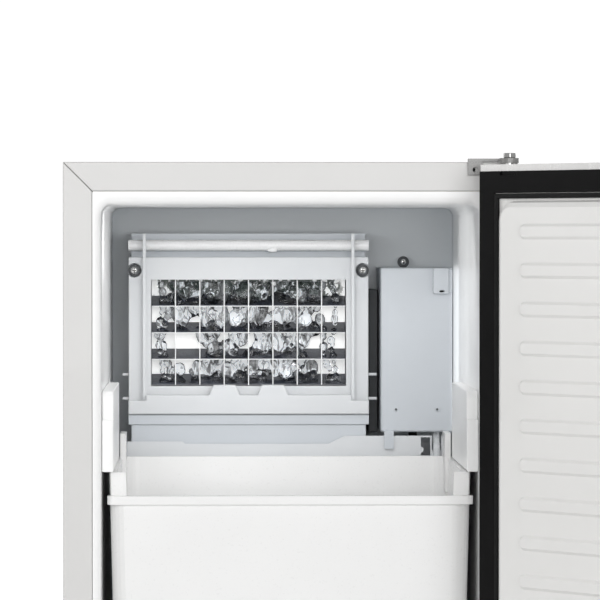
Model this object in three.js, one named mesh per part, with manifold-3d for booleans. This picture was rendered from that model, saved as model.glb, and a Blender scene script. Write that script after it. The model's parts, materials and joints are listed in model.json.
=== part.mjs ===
// An undercounter clear-ice maker, with its door standing open: an insulated cabinet on four levelling
// feet, a vertical grid evaporator with its water circuit, a control housing, a removable ice bin, a
// hinged door and, in the base, the compressor, condenser and fan. Millimetres, +X to the right as seen
// from the front, +Y to the back, +Z up. The origin is the middle of the base pan's underside.
import * as THREE from "three";
import { mergeVertices } from "three/addons/utils/BufferGeometryUtils.js";
import Module from "manifold-3d";

// ---------------------------------------------------------------- driving dimensions
const GAP = 0.3; // left between pieces that touch on the real machine

const cabinet = { width: 380, height: 840, depth: 520, sheet: 1 };
const rail = { width: 24.3, depth: 12, bottom: 118, edge: 0.6 };
const cavity = {
  lipSide: 7.5, // visible width of the liner's rounded lip at the sides
  lipTop: 11.7, // and at the top
  lipRadius: 7,
  wall: 2,
  depth: 388, // from the cabinet's front to the back wall behind the evaporator
  lowerDepth: 295, // from the cabinet's front to the compressor hump
  floor: 158,
  step: 380, // height of the hump's top
  corner: 8,
};
// Foam thickness behind, over the hump and under the floor.
const insulation = { back: 68, hump: 40, floor: 40 };
const basePan = { sheet: 1.5, flange: 20, pad: 3, padX: 240, padY: 360 };
const foot = {
  inset: 26,
  insetY: 30,
  height: 20,
  padRadius: 18,
  padThickness: 6,
  stud: 5,
  studAbove: 24,
  nut: 8.5,
};
const grille = {
  thickness: 3,
  top: 112,
  bottom: 6,
  slotHeight: 6,
  slotPitch: 12,
  slots: 7,
  slotsFrom: 10,
  border: 14,
};
const rocker = { width: 20, height: 10, fromLeft: 26, fromTop: 11, tilt: 8, wall: 2 };

const cell = { columns: 8, rows: 4, pitchZ: 24.2, wall: 1.1, depth: 20, rise: 8, back: 2 };
// Clear space at each side of the window, to the cavity's wall and to the control housing; the window's middle below
// the ceiling, and its front face before the back wall.
const evaporator = { leftSpace: 37.1, rightSpace: 31.2, fromTop: 114, fromBack: 88 };
const bezel = { side: 20.3, top: 20.5, bottom: 25.3, thickness: 3, ribOut: 8, ribWidth: 2.7, ribInset: 14.4 };
const housing = { depth: 76, wall: 2, header: 21.4, headerRecess: 18 };
const spray = { radius: 5, wall: 1.2, overhang: 0.6, holes: 8, holeRadius: 1.2 };
const splash = { thickness: 6, forward: 12, rise: 5, tabHeight: 9.1, tabBottom: 28.4, tabTop: 20, tabAt: 22 };
const chute = { flange: 9.1, wall: 2, inset: 2.7, depth: 66, height: 46, forward: 10 };
const peg = { radius: 1.4, left: 5.5, right: 7.7, heights: [-38, -60] };

// Heights in the water parts, the control housing, the bin and its guides are measured down from the ceiling.
const reservoir = {
  wall: 2,
  fromBack: 103,
  bottomDrop: 252,
  left: 15.6,
  right: 11.7,
  topDrops: [212.2, 214.4, 207.2],
};
const control = { width: 65, height: 149, fromBack: 98, wall: 2, toRight: 5.5, topDrop: 55, coverDepth: 65 };
const tube = { hose: 3.2, wallHole: 0.8, copper: 4 };

const bin = {
  rimSide: 4.7, // clearance between the rim and the cavity's wall
  front: 10,
  toBack: 120, // from the rear wall of the bin to the back wall of the cavity
  wall: 6.4,
  rim: 4, // how far the rim stands out past the front face
  rimHeight: 7,
  rimDrop: 244,
  sideDrop: 224.5,
  earDrop: 202,
  earDepth: 43,
  earWidth: 5,
  floorGap: 0.6,
  draft: 10.5, // how much narrower each side is at the floor
};
const guide = {
  thickness: 10,
  front: 10,
  step: 6,
  round: 8,
  toBack: 168,
  bottomDrop: 223.5,
  middleDrop: 180,
  topDrop: 156,
};

const door = {
  gap: 4, // between the door's inner plane and the cabinet's front
  thickness: 50,
  topGap: 3,
  bottom: 120,
  sheet: 1,
  lip: 5.5, // the skin's return along the top and bottom of the inner side
  frame: 19, // black frame's width
  frameThickness: 2,
  plugInset: 27,
  plugHeight: 8,
  plugSlope: 5.5,
  pinInset: 9, // pin's axis to the hinge-side edge
  pinToInner: 24.5, // pin's axis to the inner plane
  openAngle: 129,
};
const rib = { pitch: 31.7, height: 13, raise: 2.5, inset: 29, fromTop: 55.2 };
const handle = { radius: 7, standoff: 38, length: 420, inset: 32, postRadius: 6 };
const hinge = { plate: 2.5, pin: 3, bore: 3.4, head: 5.6, headHeight: 4, disc: 7.6 };

// ---------------------------------------------------------------- planes and places worked out from them
const FRONT = -cabinet.depth / 2;
const REAR = cabinet.depth / 2;
const SIDE = cabinet.width / 2;
const TOP = cabinet.height;
const CASE_FRONT = FRONT + rail.depth + GAP;
const CASE_REAR = REAR - cabinet.sheet - GAP;
const INSIDE = SIDE - cabinet.sheet - GAP; // half the width inside the case
const RAIL_IN = SIDE - rail.width;
const CAVITY_X = RAIL_IN - cavity.lipSide;
const CAVITY_TOP = TOP - rail.width - cavity.lipTop;
const CAVITY_BACK = FRONT + cavity.depth;
const LOWER_BACK = FRONT + cavity.lowerDepth;
const MACHINE_TOP = cavity.floor - cavity.wall - insulation.floor; // ceiling of the machine space in front
const HUMP_TOP = cavity.step - cavity.wall - insulation.hump;
const HUMP_FRONT = LOWER_BACK + cavity.wall + insulation.hump;
const FOAM_REAR = CAVITY_BACK + cavity.wall + insulation.back;

const CONTROL_RIGHT = CAVITY_X - control.toRight;
const CONTROL_LEFT = CONTROL_RIGHT - control.width;
const CONTROL_FRONT = CAVITY_BACK - control.fromBack;
const CONTROL_TOP = CAVITY_TOP - control.topDrop;
const CONTROL_BOTTOM = CONTROL_TOP - control.height;
const PUMP_TUBE_X = CONTROL_RIGHT - 14.6;

// Half the window.
const PLATE_X = (CONTROL_LEFT - evaporator.rightSpace + CAVITY_X - evaporator.leftSpace) / 2;
const PITCH_X = (2 * PLATE_X) / cell.columns;
const PLATE_Z = (cell.rows * cell.pitchZ) / 2;
const WINDOW = new THREE.Vector3(
  -CAVITY_X + evaporator.leftSpace + PLATE_X,
  CAVITY_BACK - evaporator.fromBack,
  CAVITY_TOP - evaporator.fromTop,
);
const BEZEL_X = PLATE_X + bezel.side;

const RESERVOIR_FRONT = CAVITY_BACK - reservoir.fromBack;
const RESERVOIR_BOTTOM = CAVITY_TOP - reservoir.bottomDrop;
const RIM_TOP = CAVITY_TOP - bin.rimDrop;
const BIN_TOP = CAVITY_TOP - bin.sideDrop;
const BIN_REAR = CAVITY_BACK - bin.toBack;

const PIN = new THREE.Vector3(SIDE - door.pinInset, FRONT - door.gap - door.pinToInner, 0);
const DOOR_TOP = TOP - door.topGap;

// ---------------------------------------------------------------- helpers
const wasm = await Module();
wasm.setup();

// A closed three.js geometry as a solid for cutting and joining.
function solid(geometry) {
  const bare = geometry.index ? geometry.toNonIndexed() : geometry.clone();
  for (const name of Object.keys(bare.attributes)) if (name !== "position") bare.deleteAttribute(name);
  const merged = mergeVertices(bare, 1e-4);
  return new wasm.Manifold(
    new wasm.Mesh({
      numProp: 3,
      vertProperties: merged.attributes.position.array,
      triVerts: new Uint32Array(merged.index.array),
    }),
  );
}

function geometryOf(made) {
  const found = made.getMesh();
  const points = new Float32Array(found.numVert * 3);
  for (let i = 0; i < found.numVert; i++) {
    points.set(found.vertProperties.subarray(i * found.numProp, i * found.numProp + 3), i * 3);
  }
  const flat = new THREE.BufferGeometry()
    .setAttribute("position", new THREE.BufferAttribute(points, 3))
    .setIndex(new THREE.BufferAttribute(new Uint32Array(found.triVerts), 1))
    .toNonIndexed();
  flat.computeVertexNormals();
  return flat;
}

const union = (...pieces) => pieces.flat().reduce((a, b) => a.add(b));
const cut = (from, ...pieces) => pieces.flat().reduce((a, b) => a.subtract(b), from);

function box(x0, x1, y0, y1, z0, z1) {
  const g = new THREE.BoxGeometry(x1 - x0, y1 - y0, z1 - z0);
  return solid(g.translate((x0 + x1) / 2, (y0 + y1) / 2, (z0 + z1) / 2));
}

// A cylinder or cone between two points on a line along an axis: "x", "y" or "z".
function rod(axis, radius, from, length, segments = 20, endRadius = radius) {
  const g = new THREE.CylinderGeometry(endRadius, radius, length, segments).translate(0, length / 2, 0);
  if (axis === "z") g.rotateX(Math.PI / 2);
  if (axis === "x") g.rotateZ(-Math.PI / 2);
  return solid(g.translate(...from));
}

function outline(points) {
  return new THREE.Shape(points.map(([x, y]) => new THREE.Vector2(x, y)));
}

function roundedRect(x0, x1, y0, y1, r) {
  const s = new THREE.Shape();
  s.moveTo(x0 + r, y0);
  s.lineTo(x1 - r, y0);
  s.absarc(x1 - r, y0 + r, r, -Math.PI / 2, 0);
  s.lineTo(x1, y1 - r);
  s.absarc(x1 - r, y1 - r, r, 0, Math.PI / 2);
  s.lineTo(x0 + r, y1);
  s.absarc(x0 + r, y1 - r, r, Math.PI / 2, Math.PI);
  s.lineTo(x0, y0 + r);
  s.absarc(x0 + r, y0 + r, r, Math.PI, 1.5 * Math.PI);
  return s;
}

// A shape drawn in one plane and given a thickness across it. Bevels eat into the shape, so its size holds.
function slab(plane, shape, from, to, bevel = 0, curveSegments = 4) {
  const g = new THREE.ExtrudeGeometry(shape, {
    depth: to - from - 2 * bevel,
    curveSegments,
    bevelEnabled: bevel > 0,
    bevelSize: bevel,
    bevelThickness: bevel,
    bevelOffset: -bevel,
    bevelSegments: 1,
  }).translate(0, 0, bevel);
  if (plane === "xy") g.translate(0, 0, from);
  if (plane === "xz") g.rotateX(Math.PI / 2).translate(0, to, 0);
  if (plane === "yz") {
    const turn = new THREE.Matrix4().makeBasis(
      new THREE.Vector3(0, 1, 0),
      new THREE.Vector3(0, 0, 1),
      new THREE.Vector3(1, 0, 0),
    );
    g.applyMatrix4(turn).translate(from, 0, 0);
  }
  return solid(g);
}

// A round bar or hose along a smooth curve through points.
function pipe(points, radius, steps, sides = 8, tension = 0.2) {
  const curve = new THREE.CatmullRomCurve3(
    points.map((p) => new THREE.Vector3(...p)),
    false,
    "catmullrom",
    tension,
  );
  const section = new THREE.Shape();
  for (let i = 0; i < sides; i++) {
    const a = (i / sides) * 2 * Math.PI;
    section[i ? "lineTo" : "moveTo"](radius * Math.cos(a), radius * Math.sin(a));
  }
  return solid(new THREE.ExtrudeGeometry(section, { steps, extrudePath: curve }));
}

const finishes = {
  trim: new THREE.MeshStandardMaterial({ color: 0xe2e1e0, roughness: 0.45, metalness: 0 }),
  steel: new THREE.MeshStandardMaterial({ color: 0xb9b9b7, roughness: 0.3, metalness: 1 }),
  white: new THREE.MeshStandardMaterial({ color: 0xf2f2f0, roughness: 0.35, metalness: 0 }),
  grey: new THREE.MeshStandardMaterial({ color: 0xd6dbe0, roughness: 0.4, metalness: 0 }),
  tin: new THREE.MeshStandardMaterial({ color: 0xd9dcdd, roughness: 0.25, metalness: 1 }),
  black: new THREE.MeshStandardMaterial({ color: 0x141414, roughness: 0.5, metalness: 0 }),
  rubber: new THREE.MeshStandardMaterial({ color: 0x1b1b1b, roughness: 0.8, metalness: 0 }),
  copper: new THREE.MeshStandardMaterial({ color: 0xb5714a, roughness: 0.35, metalness: 1 }),
  foam: new THREE.MeshStandardMaterial({ color: 0xe7d9a8, roughness: 0.9, metalness: 0 }),
  board: new THREE.MeshStandardMaterial({ color: 0x2f6b45, roughness: 0.6, metalness: 0 }),
  ice: new THREE.MeshStandardMaterial({ color: 0xe8f2f6, roughness: 0.05, metalness: 0 }),
};

function piece(name, made, finish) {
  const mesh = new THREE.Mesh(geometryOf(made), finishes[finish]);
  mesh.name = name;
  return mesh;
}

function group(...children) {
  const g = new THREE.Group();
  g.add(...children.flat());
  return g;
}

// ---------------------------------------------------------------- cabinet
function outerCase() {
  const shell = cut(
    box(-SIDE, SIDE, CASE_FRONT, CASE_REAR, 0, TOP),
    box(
      -SIDE + cabinet.sheet,
      SIDE - cabinet.sheet,
      CASE_FRONT - 1,
      CASE_REAR + 1,
      -1,
      TOP - cabinet.sheet,
    ),
  );
  return piece("outer_case", shell, "trim");
}

// The four mitred strips round the front opening.
function frontRails() {
  const z0 = rail.bottom;
  const inX = RAIL_IN;
  const inTop = TOP - rail.width;
  const inLow = z0 + rail.width;
  const m = GAP / 2;
  const strips = {
    rail_top: [[-SIDE + m, TOP], [-inX + m, inTop], [inX - m, inTop], [SIDE - m, TOP]],
    rail_left: [[-SIDE, TOP - m], [-SIDE, z0 + m], [-inX, inLow + m], [-inX, inTop - m]],
    rail_right: [[SIDE, TOP - m], [inX, inTop - m], [inX, inLow + m], [SIDE, z0 + m]],
    rail_bottom: [[-SIDE + m, z0], [SIDE - m, z0], [inX - m, inLow], [-inX + m, inLow]],
  };
  return Object.entries(strips).map(([name, points]) =>
    piece(name, slab("xz", outline(points), FRONT, FRONT + rail.depth, rail.edge), "trim"),
  );
}

// The space inside the liner, grown by a wall: a tall front part, and above the hump a deeper part.
function cavitySolid(grow) {
  const upper = roundedRect(
    -CAVITY_X - grow,
    CAVITY_X + grow,
    cavity.step - grow,
    CAVITY_TOP + grow,
    cavity.corner + grow,
  );
  const whole = roundedRect(
    -CAVITY_X - grow,
    CAVITY_X + grow,
    cavity.floor - grow,
    CAVITY_TOP + grow,
    cavity.corner + grow,
  );
  return union(
    slab("xz", upper, FRONT + 0.5, CAVITY_BACK + grow),
    slab("xz", whole, FRONT + 0.5, LOWER_BACK + grow),
  );
}

// The flared mouth: a quarter round that turns the liner's walls out to its front face.
function cavityMouth() {
  const r = cavity.lipRadius;
  const mouth = roundedRect(-CAVITY_X, CAVITY_X, cavity.floor, CAVITY_TOP, cavity.corner);
  const flare = new THREE.ExtrudeGeometry(mouth, {
    depth: 4 * r,
    curveSegments: 4,
    bevelEnabled: true,
    bevelSize: -r,
    bevelOffset: r,
    bevelThickness: r,
    bevelSegments: 4,
  }).rotateX(Math.PI / 2);
  const face = FRONT + 0.5;
  flare.translate(0, face + r + 4 * r, 0);
  const front = solid(flare).intersect(box(-SIDE, SIDE, face - 1, face + 3 * r, 0, TOP));
  return union(front, box(-CAVITY_X, CAVITY_X, face - 20, face + 0.01, cavity.floor, CAVITY_TOP));
}

// Holes through the liner and foam for the copper line and the two hoses, along Y.
const crossings = [
  { x: WINDOW.x + PLATE_X + 8, z: WINDOW.z - 20, radius: tube.copper },
  { x: WINDOW.x + PLATE_X - 22, z: WINDOW.z + PLATE_Z + bezel.top + housing.header / 2, radius: 0 },
  { x: CONTROL_LEFT + 12, z: CONTROL_BOTTOM + 40, radius: tube.hose },
];
function crossingHoles() {
  return crossings
    .filter((c) => c.radius > 0)
    .map((c) => rod("y", c.radius + tube.wallHole, [c.x, CAVITY_BACK - 20, c.z], 260, 12));
}

function innerLiner() {
  const flange = slab(
    "xz",
    roundedRect(-RAIL_IN + GAP, RAIL_IN - GAP, rail.bottom + rail.width + GAP, TOP - rail.width - GAP, 1),
    FRONT + 0.5,
    FRONT + rail.depth,
  );
  const shell = cut(union(cavitySolid(cavity.wall), flange), cavitySolid(0), cavityMouth());
  return piece("inner_liner", cut(shell, crossingHoles()), "white");
}

function insulationFoam() {
  const fill = union(
    box(-INSIDE, INSIDE, CASE_FRONT, HUMP_FRONT, MACHINE_TOP, TOP - cabinet.sheet - GAP),
    box(-INSIDE, INSIDE, HUMP_FRONT - 1, FOAM_REAR, HUMP_TOP, TOP - cabinet.sheet - GAP),
  );
  const flangeRoom = box(-RAIL_IN, RAIL_IN, FRONT - 1, CASE_FRONT + 1, rail.bottom, TOP - rail.width);
  return piece("insulation", cut(fill, cavitySolid(cavity.wall + GAP), flangeRoom, crossingHoles()), "foam");
}

// Where the services pass through the rear: across as a share of half the width, and height.
const rearFittings = { power: [-0.632 * SIDE, 60], water: [-0.316 * SIDE, 60], drain: [-0.79 * SIDE, 36] };

function rearPanel() {
  const edge = INSIDE - 0.2;
  const plate = box(-edge, edge, REAR - cabinet.sheet, REAR, basePan.flange + 4, TOP - cabinet.sheet - GAP);
  const slots = [];
  for (let row = 0; row < 10; row++) {
    for (const side of [-1, 1]) {
      const x = side * 80;
      const z = 130 + row * 16;
      slots.push(box(x - 45, x + 45, REAR - 3, REAR + 2, z - 2.5, z + 2.5));
    }
  }
  const [px, pz] = rearFittings.power;
  const [wx, wz] = rearFittings.water;
  const [dx, dz] = rearFittings.drain;
  return piece(
    "rear_panel",
    cut(
      plate,
      slots,
      box(px - 14, px + 14, REAR - 4, REAR + 4, pz - 10.5, pz + 10.5),
      rod("y", 10.4, [wx, REAR - 4, wz], 8, 20),
      rod("y", 9.4, [dx, REAR - 4, dz], 8, 20),
    ),
    "trim",
  );
}

const footPlaces = [
  ["front_left", -1, -1],
  ["front_right", 1, -1],
  ["rear_left", -1, 1],
  ["rear_right", 1, 1],
].map(([name, sx, sy]) => [name, sx * (SIDE - foot.inset), sy * (cabinet.depth / 2 - foot.insetY)]);

// A pressed tray: a flat middle pad with the rim, which carries the feet, stepped up round it.
function pan() {
  const edgeY0 = CASE_FRONT;
  const edgeY1 = CASE_REAR;
  const z = basePan.pad;
  const tray = cut(
    box(-INSIDE, INSIDE, edgeY0, edgeY1, z, z + basePan.flange),
    box(
      -INSIDE + basePan.sheet,
      INSIDE - basePan.sheet,
      edgeY0 + basePan.sheet,
      edgeY1 - basePan.sheet,
      z + basePan.sheet,
      z + basePan.flange + 1,
    ),
  );
  const padX = basePan.padX / 2;
  const padY = basePan.padY / 2;
  const pad = slab("xy", roundedRect(-padX, padX, -padY, padY, 12), 0, z + 0.1);
  const hollow = slab(
    "xy",
    roundedRect(
      -padX + basePan.sheet,
      padX - basePan.sheet,
      -padY + basePan.sheet,
      padY - basePan.sheet,
      10.5,
    ),
    basePan.sheet,
    z + basePan.sheet + 1,
  );
  const holes = footPlaces.map(([, x, y]) => rod("z", foot.stud + GAP, [x, y, -1], 10, 16));
  return piece("base_pan", cut(union(tray, pad), hollow, holes), "steel");
}

// Pad, hexagon and threaded stud in one; the hexagon stops against the pan's rim.
function levellingFeet() {
  const hexTop = basePan.pad - GAP;
  return footPlaces.map(([name, x, y]) => {
    const pad = rod("z", foot.padRadius, [0, 0, -foot.height], foot.padThickness, 24, foot.padRadius - 3);
    const neck = rod("z", foot.stud, [0, 0, -foot.height + 1], foot.height + foot.studAbove, 16);
    const hex = rod("z", foot.nut / Math.cos(Math.PI / 6), [0, 0, hexTop - 7], 7, 6);
    const mesh = piece(`foot_${name}`, union(pad, neck, hex), "steel");
    mesh.position.set(x, y, 0);
    return mesh;
  });
}

const switchAt = [-SIDE + rocker.fromLeft, grille.top - rocker.fromTop];

// The mains switch in the grille: a fixed cup and the rocker that tips in it.
function powerSwitch() {
  const [x, z] = switchAt;
  const w = rocker.width / 2;
  const h = rocker.height / 2;
  const y0 = FRONT + 1;
  const cup = cut(
    box(x - w - rocker.wall, x + w + rocker.wall, y0, y0 + 20, z - h - rocker.wall, z + h + rocker.wall),
    box(x - w, x + w, y0 - 1, y0 + 11, z - h, z + h),
  );
  const shape = outline(
    [[-w + 0.6, 0], [-w + 0.6, -3.4], [0, -1.8], [w - 0.6, -3.4], [w - 0.6, 0], [3, 4.2], [-3, 4.2]],
  );
  const key = piece("switch_rocker", slab("xy", shape, -h + GAP, h - GAP), "black");
  key.position.set(x, y0 + 4, z);
  key.rotation.z = THREE.MathUtils.degToRad(-rocker.tilt);
  return group(piece("switch_body", cup, "black"), key);
}

function kickGrille() {
  const half = INSIDE;
  const y0 = FRONT + 2;
  const face = slab(
    "xz",
    roundedRect(-half, half, grille.bottom, grille.top, 3),
    y0,
    y0 + grille.thickness,
    0.6,
  );
  const slots = [];
  const slotLow = grille.bottom + grille.slotsFrom;
  for (let i = 0; i < grille.slots; i++) {
    const z = slotLow + i * grille.slotPitch;
    for (const side of [-1, 1]) {
      const x0 = side < 0 ? -half + grille.border : grille.border / 2;
      const x1 = side < 0 ? -grille.border / 2 : half - grille.border;
      const h = grille.slotHeight / 2;
      slots.push(box(x0, x1, y0 - 2, y0 + grille.thickness + 2, z - h, z + h));
    }
  }
  const [sx, sz] = switchAt;
  const w = rocker.width / 2 + rocker.wall + GAP;
  const h = rocker.height / 2 + rocker.wall + GAP;
  const ears = [-1, 1].map((s) =>
    box(Math.min(s * half, s * (half - 2)), Math.max(s * half, s * (half - 2)), y0 + 1, y0 + 22, 26, 92),
  );
  return piece(
    "kick_grille",
    cut(union(face, ears), slots, box(sx - w, sx + w, y0 - 1, y0 + 9, sz - h, sz + h)),
    "black",
  );
}

// ---------------------------------------------------------------- refrigeration
function compressor() {
  const r = 70;
  const profile = [
    [0, 22], [30, 22], [52, 27], [66, 42], [r, 60], [r, 98], [r + 3, 99], [r + 3, 106], [r, 107],
    [r, 138], [64, 158], [48, 172], [26, 180], [0, 182],
  ].map(([x, z]) => new THREE.Vector2(x, z));
  const shell = solid(new THREE.LatheGeometry(profile, 28).rotateX(Math.PI / 2));
  const plate = slab("xy", roundedRect(-86, 86, -60, 60, 10), 14, 17);
  const corners = [-1, 1].flatMap((sx) => [-1, 1].map((sy) => [sx * 76, sy * 48]));
  const grommets = corners.map(([x, y]) => rod("z", 8, [x, y, basePan.pad + basePan.sheet + GAP], 10, 12));
  const bolts = corners.map(([x, y]) => rod("z", 4, [x, y, 16], 6, 6));
  const legs = [-1, 1].flatMap(
    (sx) => [-1, 1].map((sy) => box(sx * 36 - 6, sx * 36 + 6, sy * 26 - 4, sy * 26 + 4, 16, 34)),
  );
  const cap = box(-20, 20, -84, -60, 80, 124);
  const stub = rod("z", tube.copper + 1.5, [34, 30, 150], 32, 12);
  const made = piece("compressor", union(plate, grommets, bolts, legs, shell, cap, stub), "black");
  made.position.set(56, HUMP_FRONT + 94, 0);
  return made;
}

const panFloor = basePan.pad + basePan.sheet + GAP;
const condenserAt = { x0: -SIDE + 40, x1: 10, y0: FRONT + 24, y1: FRONT + 64, z0: panFloor, z1: 106 };

function condenser() {
  const { x0, x1, y0, y1, z0, z1 } = condenserAt;
  const core = box(x0, x1, y0 + 12, y1 - 12, z0, z1);
  const fins = [];
  for (let x = x0 + 3; x < x1 - 3; x += 6.2) fins.push(box(x, x + 1.2, y0, y1, z0 + 2, z1 - 2));
  const bends = [];
  for (let z = z0 + 16; z < z1 - 16; z += 32) {
    const bend = new THREE.TorusGeometry(8, 3.6, 8, 12).rotateX(Math.PI / 2).rotateZ(0);
    bends.push(solid(bend.translate(x1, (y0 + y1) / 2, z + 8)));
  }
  return piece("condenser_coil", union(core, fins, bends), "black");
}

const fanAt = new THREE.Vector3((condenserAt.x0 + condenserAt.x1) / 2, condenserAt.y1 + 14, 58);
const fan = { radius: 43, blades: 5, hub: 14, clearance: 3 };

function fanShroud() {
  const y0 = condenserAt.y1 + GAP;
  const walls = cut(
    box(condenserAt.x0, condenserAt.x1, y0, y0 + 24, condenserAt.z0, condenserAt.z1),
    box(condenserAt.x0 + 2, condenserAt.x1 - 2, y0 - 1, y0 + 3, condenserAt.z0 + 2, condenserAt.z1 - 2),
    rod("y", fan.radius + fan.clearance, [fanAt.x, y0 - 1, fanAt.z], 40, 32),
  );
  const strutY = y0 + 21;
  const struts = [0, 1].map((i) => {
    const g = new THREE.BoxGeometry(
      2 * (fan.radius + fan.clearance) + 4,
      3,
      6,
    ).rotateY(Math.PI / 4 + (i * Math.PI) / 2);
    return solid(g.translate(fanAt.x, strutY + 1.5, fanAt.z));
  });
  const boreForShaft = rod("y", 24, [fanAt.x, y0, fanAt.z], 40, 24);
  const ring = rod("y", 27, [fanAt.x, strutY, fanAt.z], 3, 24);
  return piece("fan_shroud", union(walls, cut(union(ring, struts), boreForShaft)), "black");
}

function fanMotor() {
  const y0 = condenserAt.y1 + GAP + 21;
  const body = rod("y", 23.6, [fanAt.x, y0, fanAt.z], 30, 24);
  const nose = rod("y", 3, [fanAt.x, y0 - 16, fanAt.z], 18, 12);
  return piece("fan_motor", union(body, nose), "steel");
}

function fanBlades() {
  const hub = rod("y", fan.hub, [0, -6, 0], 12, 20);
  const blades = [];
  for (let i = 0; i < fan.blades; i++) {
    const span = fan.radius - fan.hub + 2;
    const g = new THREE.BoxGeometry(span, 1.6, 24).translate(fan.hub - 2 + span / 2, 0, 0);
    g.rotateX(Math.PI / 7);
    g.rotateY((i / fan.blades) * 2 * Math.PI);
    blades.push(solid(g));
  }
  const bore = rod("y", 3 + GAP, [0, -20, 0], 40, 12);
  const mesh = piece(
    "fan_blades",
    cut(union(hub, blades).intersect(rod("y", fan.radius, [0, -12, 0], 24, 40)), bore),
    "grey",
  );
  mesh.position.set(fanAt.x, fanAt.y - 2, fanAt.z);
  return mesh;
}

// The copper line from the compressor up the rear duct and in to the evaporator's coil.
function suctionLine() {
  const duct = (FOAM_REAR + CASE_REAR) / 2;
  const end = crossings[0];
  const start = [56 + 34, HUMP_FRONT + 94 + 30, 182 + GAP];
  const run = pipe(
    [
      start,
      [start[0], start[1], 215],
      [start[0], start[1] + 16, 250],
      [start[0] - 6, duct, 300],
      [end.x + 10, duct, 380],
      [end.x, duct, end.z - 60],
      [end.x, duct - 6, end.z - 14],
      [end.x, duct - 24, end.z],
      [end.x, CAVITY_BACK + 30, end.z],
      [end.x, WINDOW.y + 62, end.z],
    ],
    tube.copper,
    52,
  );
  return piece("suction_line", run, "copper");
}

// ---------------------------------------------------------------- water circuit
function inletValve() {
  const [x, z] = rearFittings.water;
  const thread = rod("y", 9.8, [x, REAR - 22, z], 20, 20);
  const body = box(x - 16, x + 16, REAR - 44, REAR - 20, z - 16, z + 16);
  const coil = rod("z", 13, [x, REAR - 34, z + 14], 34, 20);
  const outlet = rod("y", 5, [x, REAR - 58, z], 16, 12);
  return piece("inlet_valve", union(thread, body, coil, outlet), "grey");
}

function fillTube() {
  const duct = (FOAM_REAR + CASE_REAR) / 2;
  const [x, z] = rearFittings.water;
  const end = crossings[2];
  const rise = end.z - z;
  const run = pipe(
    [
      [x, REAR - 58 - GAP, z],
      [x, REAR - 66, z],
      [x - 1, REAR - 78, z + 8],
      [x - 10, REAR - 84, z + 40],
      [x - 30, REAR - 80, z + 0.22 * rise],
      [x - 30, REAR - 60, z + 0.38 * rise],
      [x - 20, duct + 16, z + 0.52 * rise],
      [x + 40, duct + 20, z + 0.66 * rise],
      [end.x - 10, duct + 20, end.z - 90],
      [end.x, duct + 10, end.z - 40],
      [end.x, duct, end.z - 12],
      [end.x, duct - 16, end.z],
      [end.x, CAVITY_BACK + 30, end.z],
      [end.x, CAVITY_BACK - 30, end.z],
    ],
    tube.hose,
    56,
  );
  return piece("fill_tube", run, "white");
}

function drainHose() {
  const [x, z] = rearFittings.drain;
  const run = pipe(
    [
      [-100, -30, MACHINE_TOP - GAP],
      [-100, -30, MACHINE_TOP - 14],
      [-104, -20, MACHINE_TOP - 32],
      [-118, 10, 66],
      [-140, 60, 48],
      [x, 120, 40],
      [x, 180, z + 2],
      [x, REAR - 30, z],
      [x, REAR - 1, z],
    ],
    7,
    50,
    10,
  );
  return piece("drain_hose", run, "grey");
}

function powerInlet() {
  const [x, z] = rearFittings.power;
  const body = box(x - 13.6, x + 13.6, REAR - 24, REAR - 0.6, z - 10.1, z + 10.1);
  const mouth = box(x - 11.4, x + 11.4, REAR - 18, REAR + 1, z - 8, z + 8);
  const blades = [-7, 0, 7].map((dx) => box(x + dx - 1, x + dx + 1, REAR - 19, REAR - 4, z - 2, z + 2));
  return piece("power_inlet", union(cut(body, mouth), blades), "black");
}

// The long open tank under the evaporator and the pump; its front wall has a stepped top edge.
function reservoirTank() {
  const x0 = -CAVITY_X + reservoir.left;
  const x1 = CAVITY_X - reservoir.right;
  const y0 = RESERVOIR_FRONT;
  const y1 = CAVITY_BACK - 0.6;
  const [left, middle, right] = reservoir.topDrops.map((drop) => CAVITY_TOP - drop);
  const front = outline([
    [x0, RESERVOIR_BOTTOM],
    [x1, RESERVOIR_BOTTOM],
    [x1, right],
    [WINDOW.x + PLATE_X - 1.7, right],
    [WINDOW.x + PLATE_X - 16.2, middle],
    [WINDOW.x - PLATE_X + 31, middle],
    [WINDOW.x - PLATE_X + 29, left],
    [x0, left],
  ]);
  const low = middle - 4;
  const tank = union(
    slab("xz", front, y0, y0 + reservoir.wall),
    box(x0, x1, y0, y1, RESERVOIR_BOTTOM, low),
  );
  const hollow = box(
    x0 + reservoir.wall,
    x1 - reservoir.wall,
    y0 + reservoir.wall,
    y1 - reservoir.wall,
    RESERVOIR_BOTTOM + reservoir.wall,
    low + 20,
  );
  const notchRight = PUMP_TUBE_X - 5.6;
  const notch = box(
    notchRight - 8.6,
    notchRight,
    y0 - 1,
    y0 + reservoir.wall + 0.5,
    right - 17.8,
    right - 1.4,
  );
  const boss = rod("y", 2.6, [notchRight - 8.6, y0, right - 12.6], reservoir.wall, 16);
  const saddle = box(
    PUMP_TUBE_X - 4.4,
    PUMP_TUBE_X + 4.4,
    y0 - 1,
    y0 + reservoir.wall + 1,
    low - 2,
    right + 1,
  );
  return piece("water_reservoir", union(cut(tank, hollow, notch, saddle), boss), "grey");
}

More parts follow.
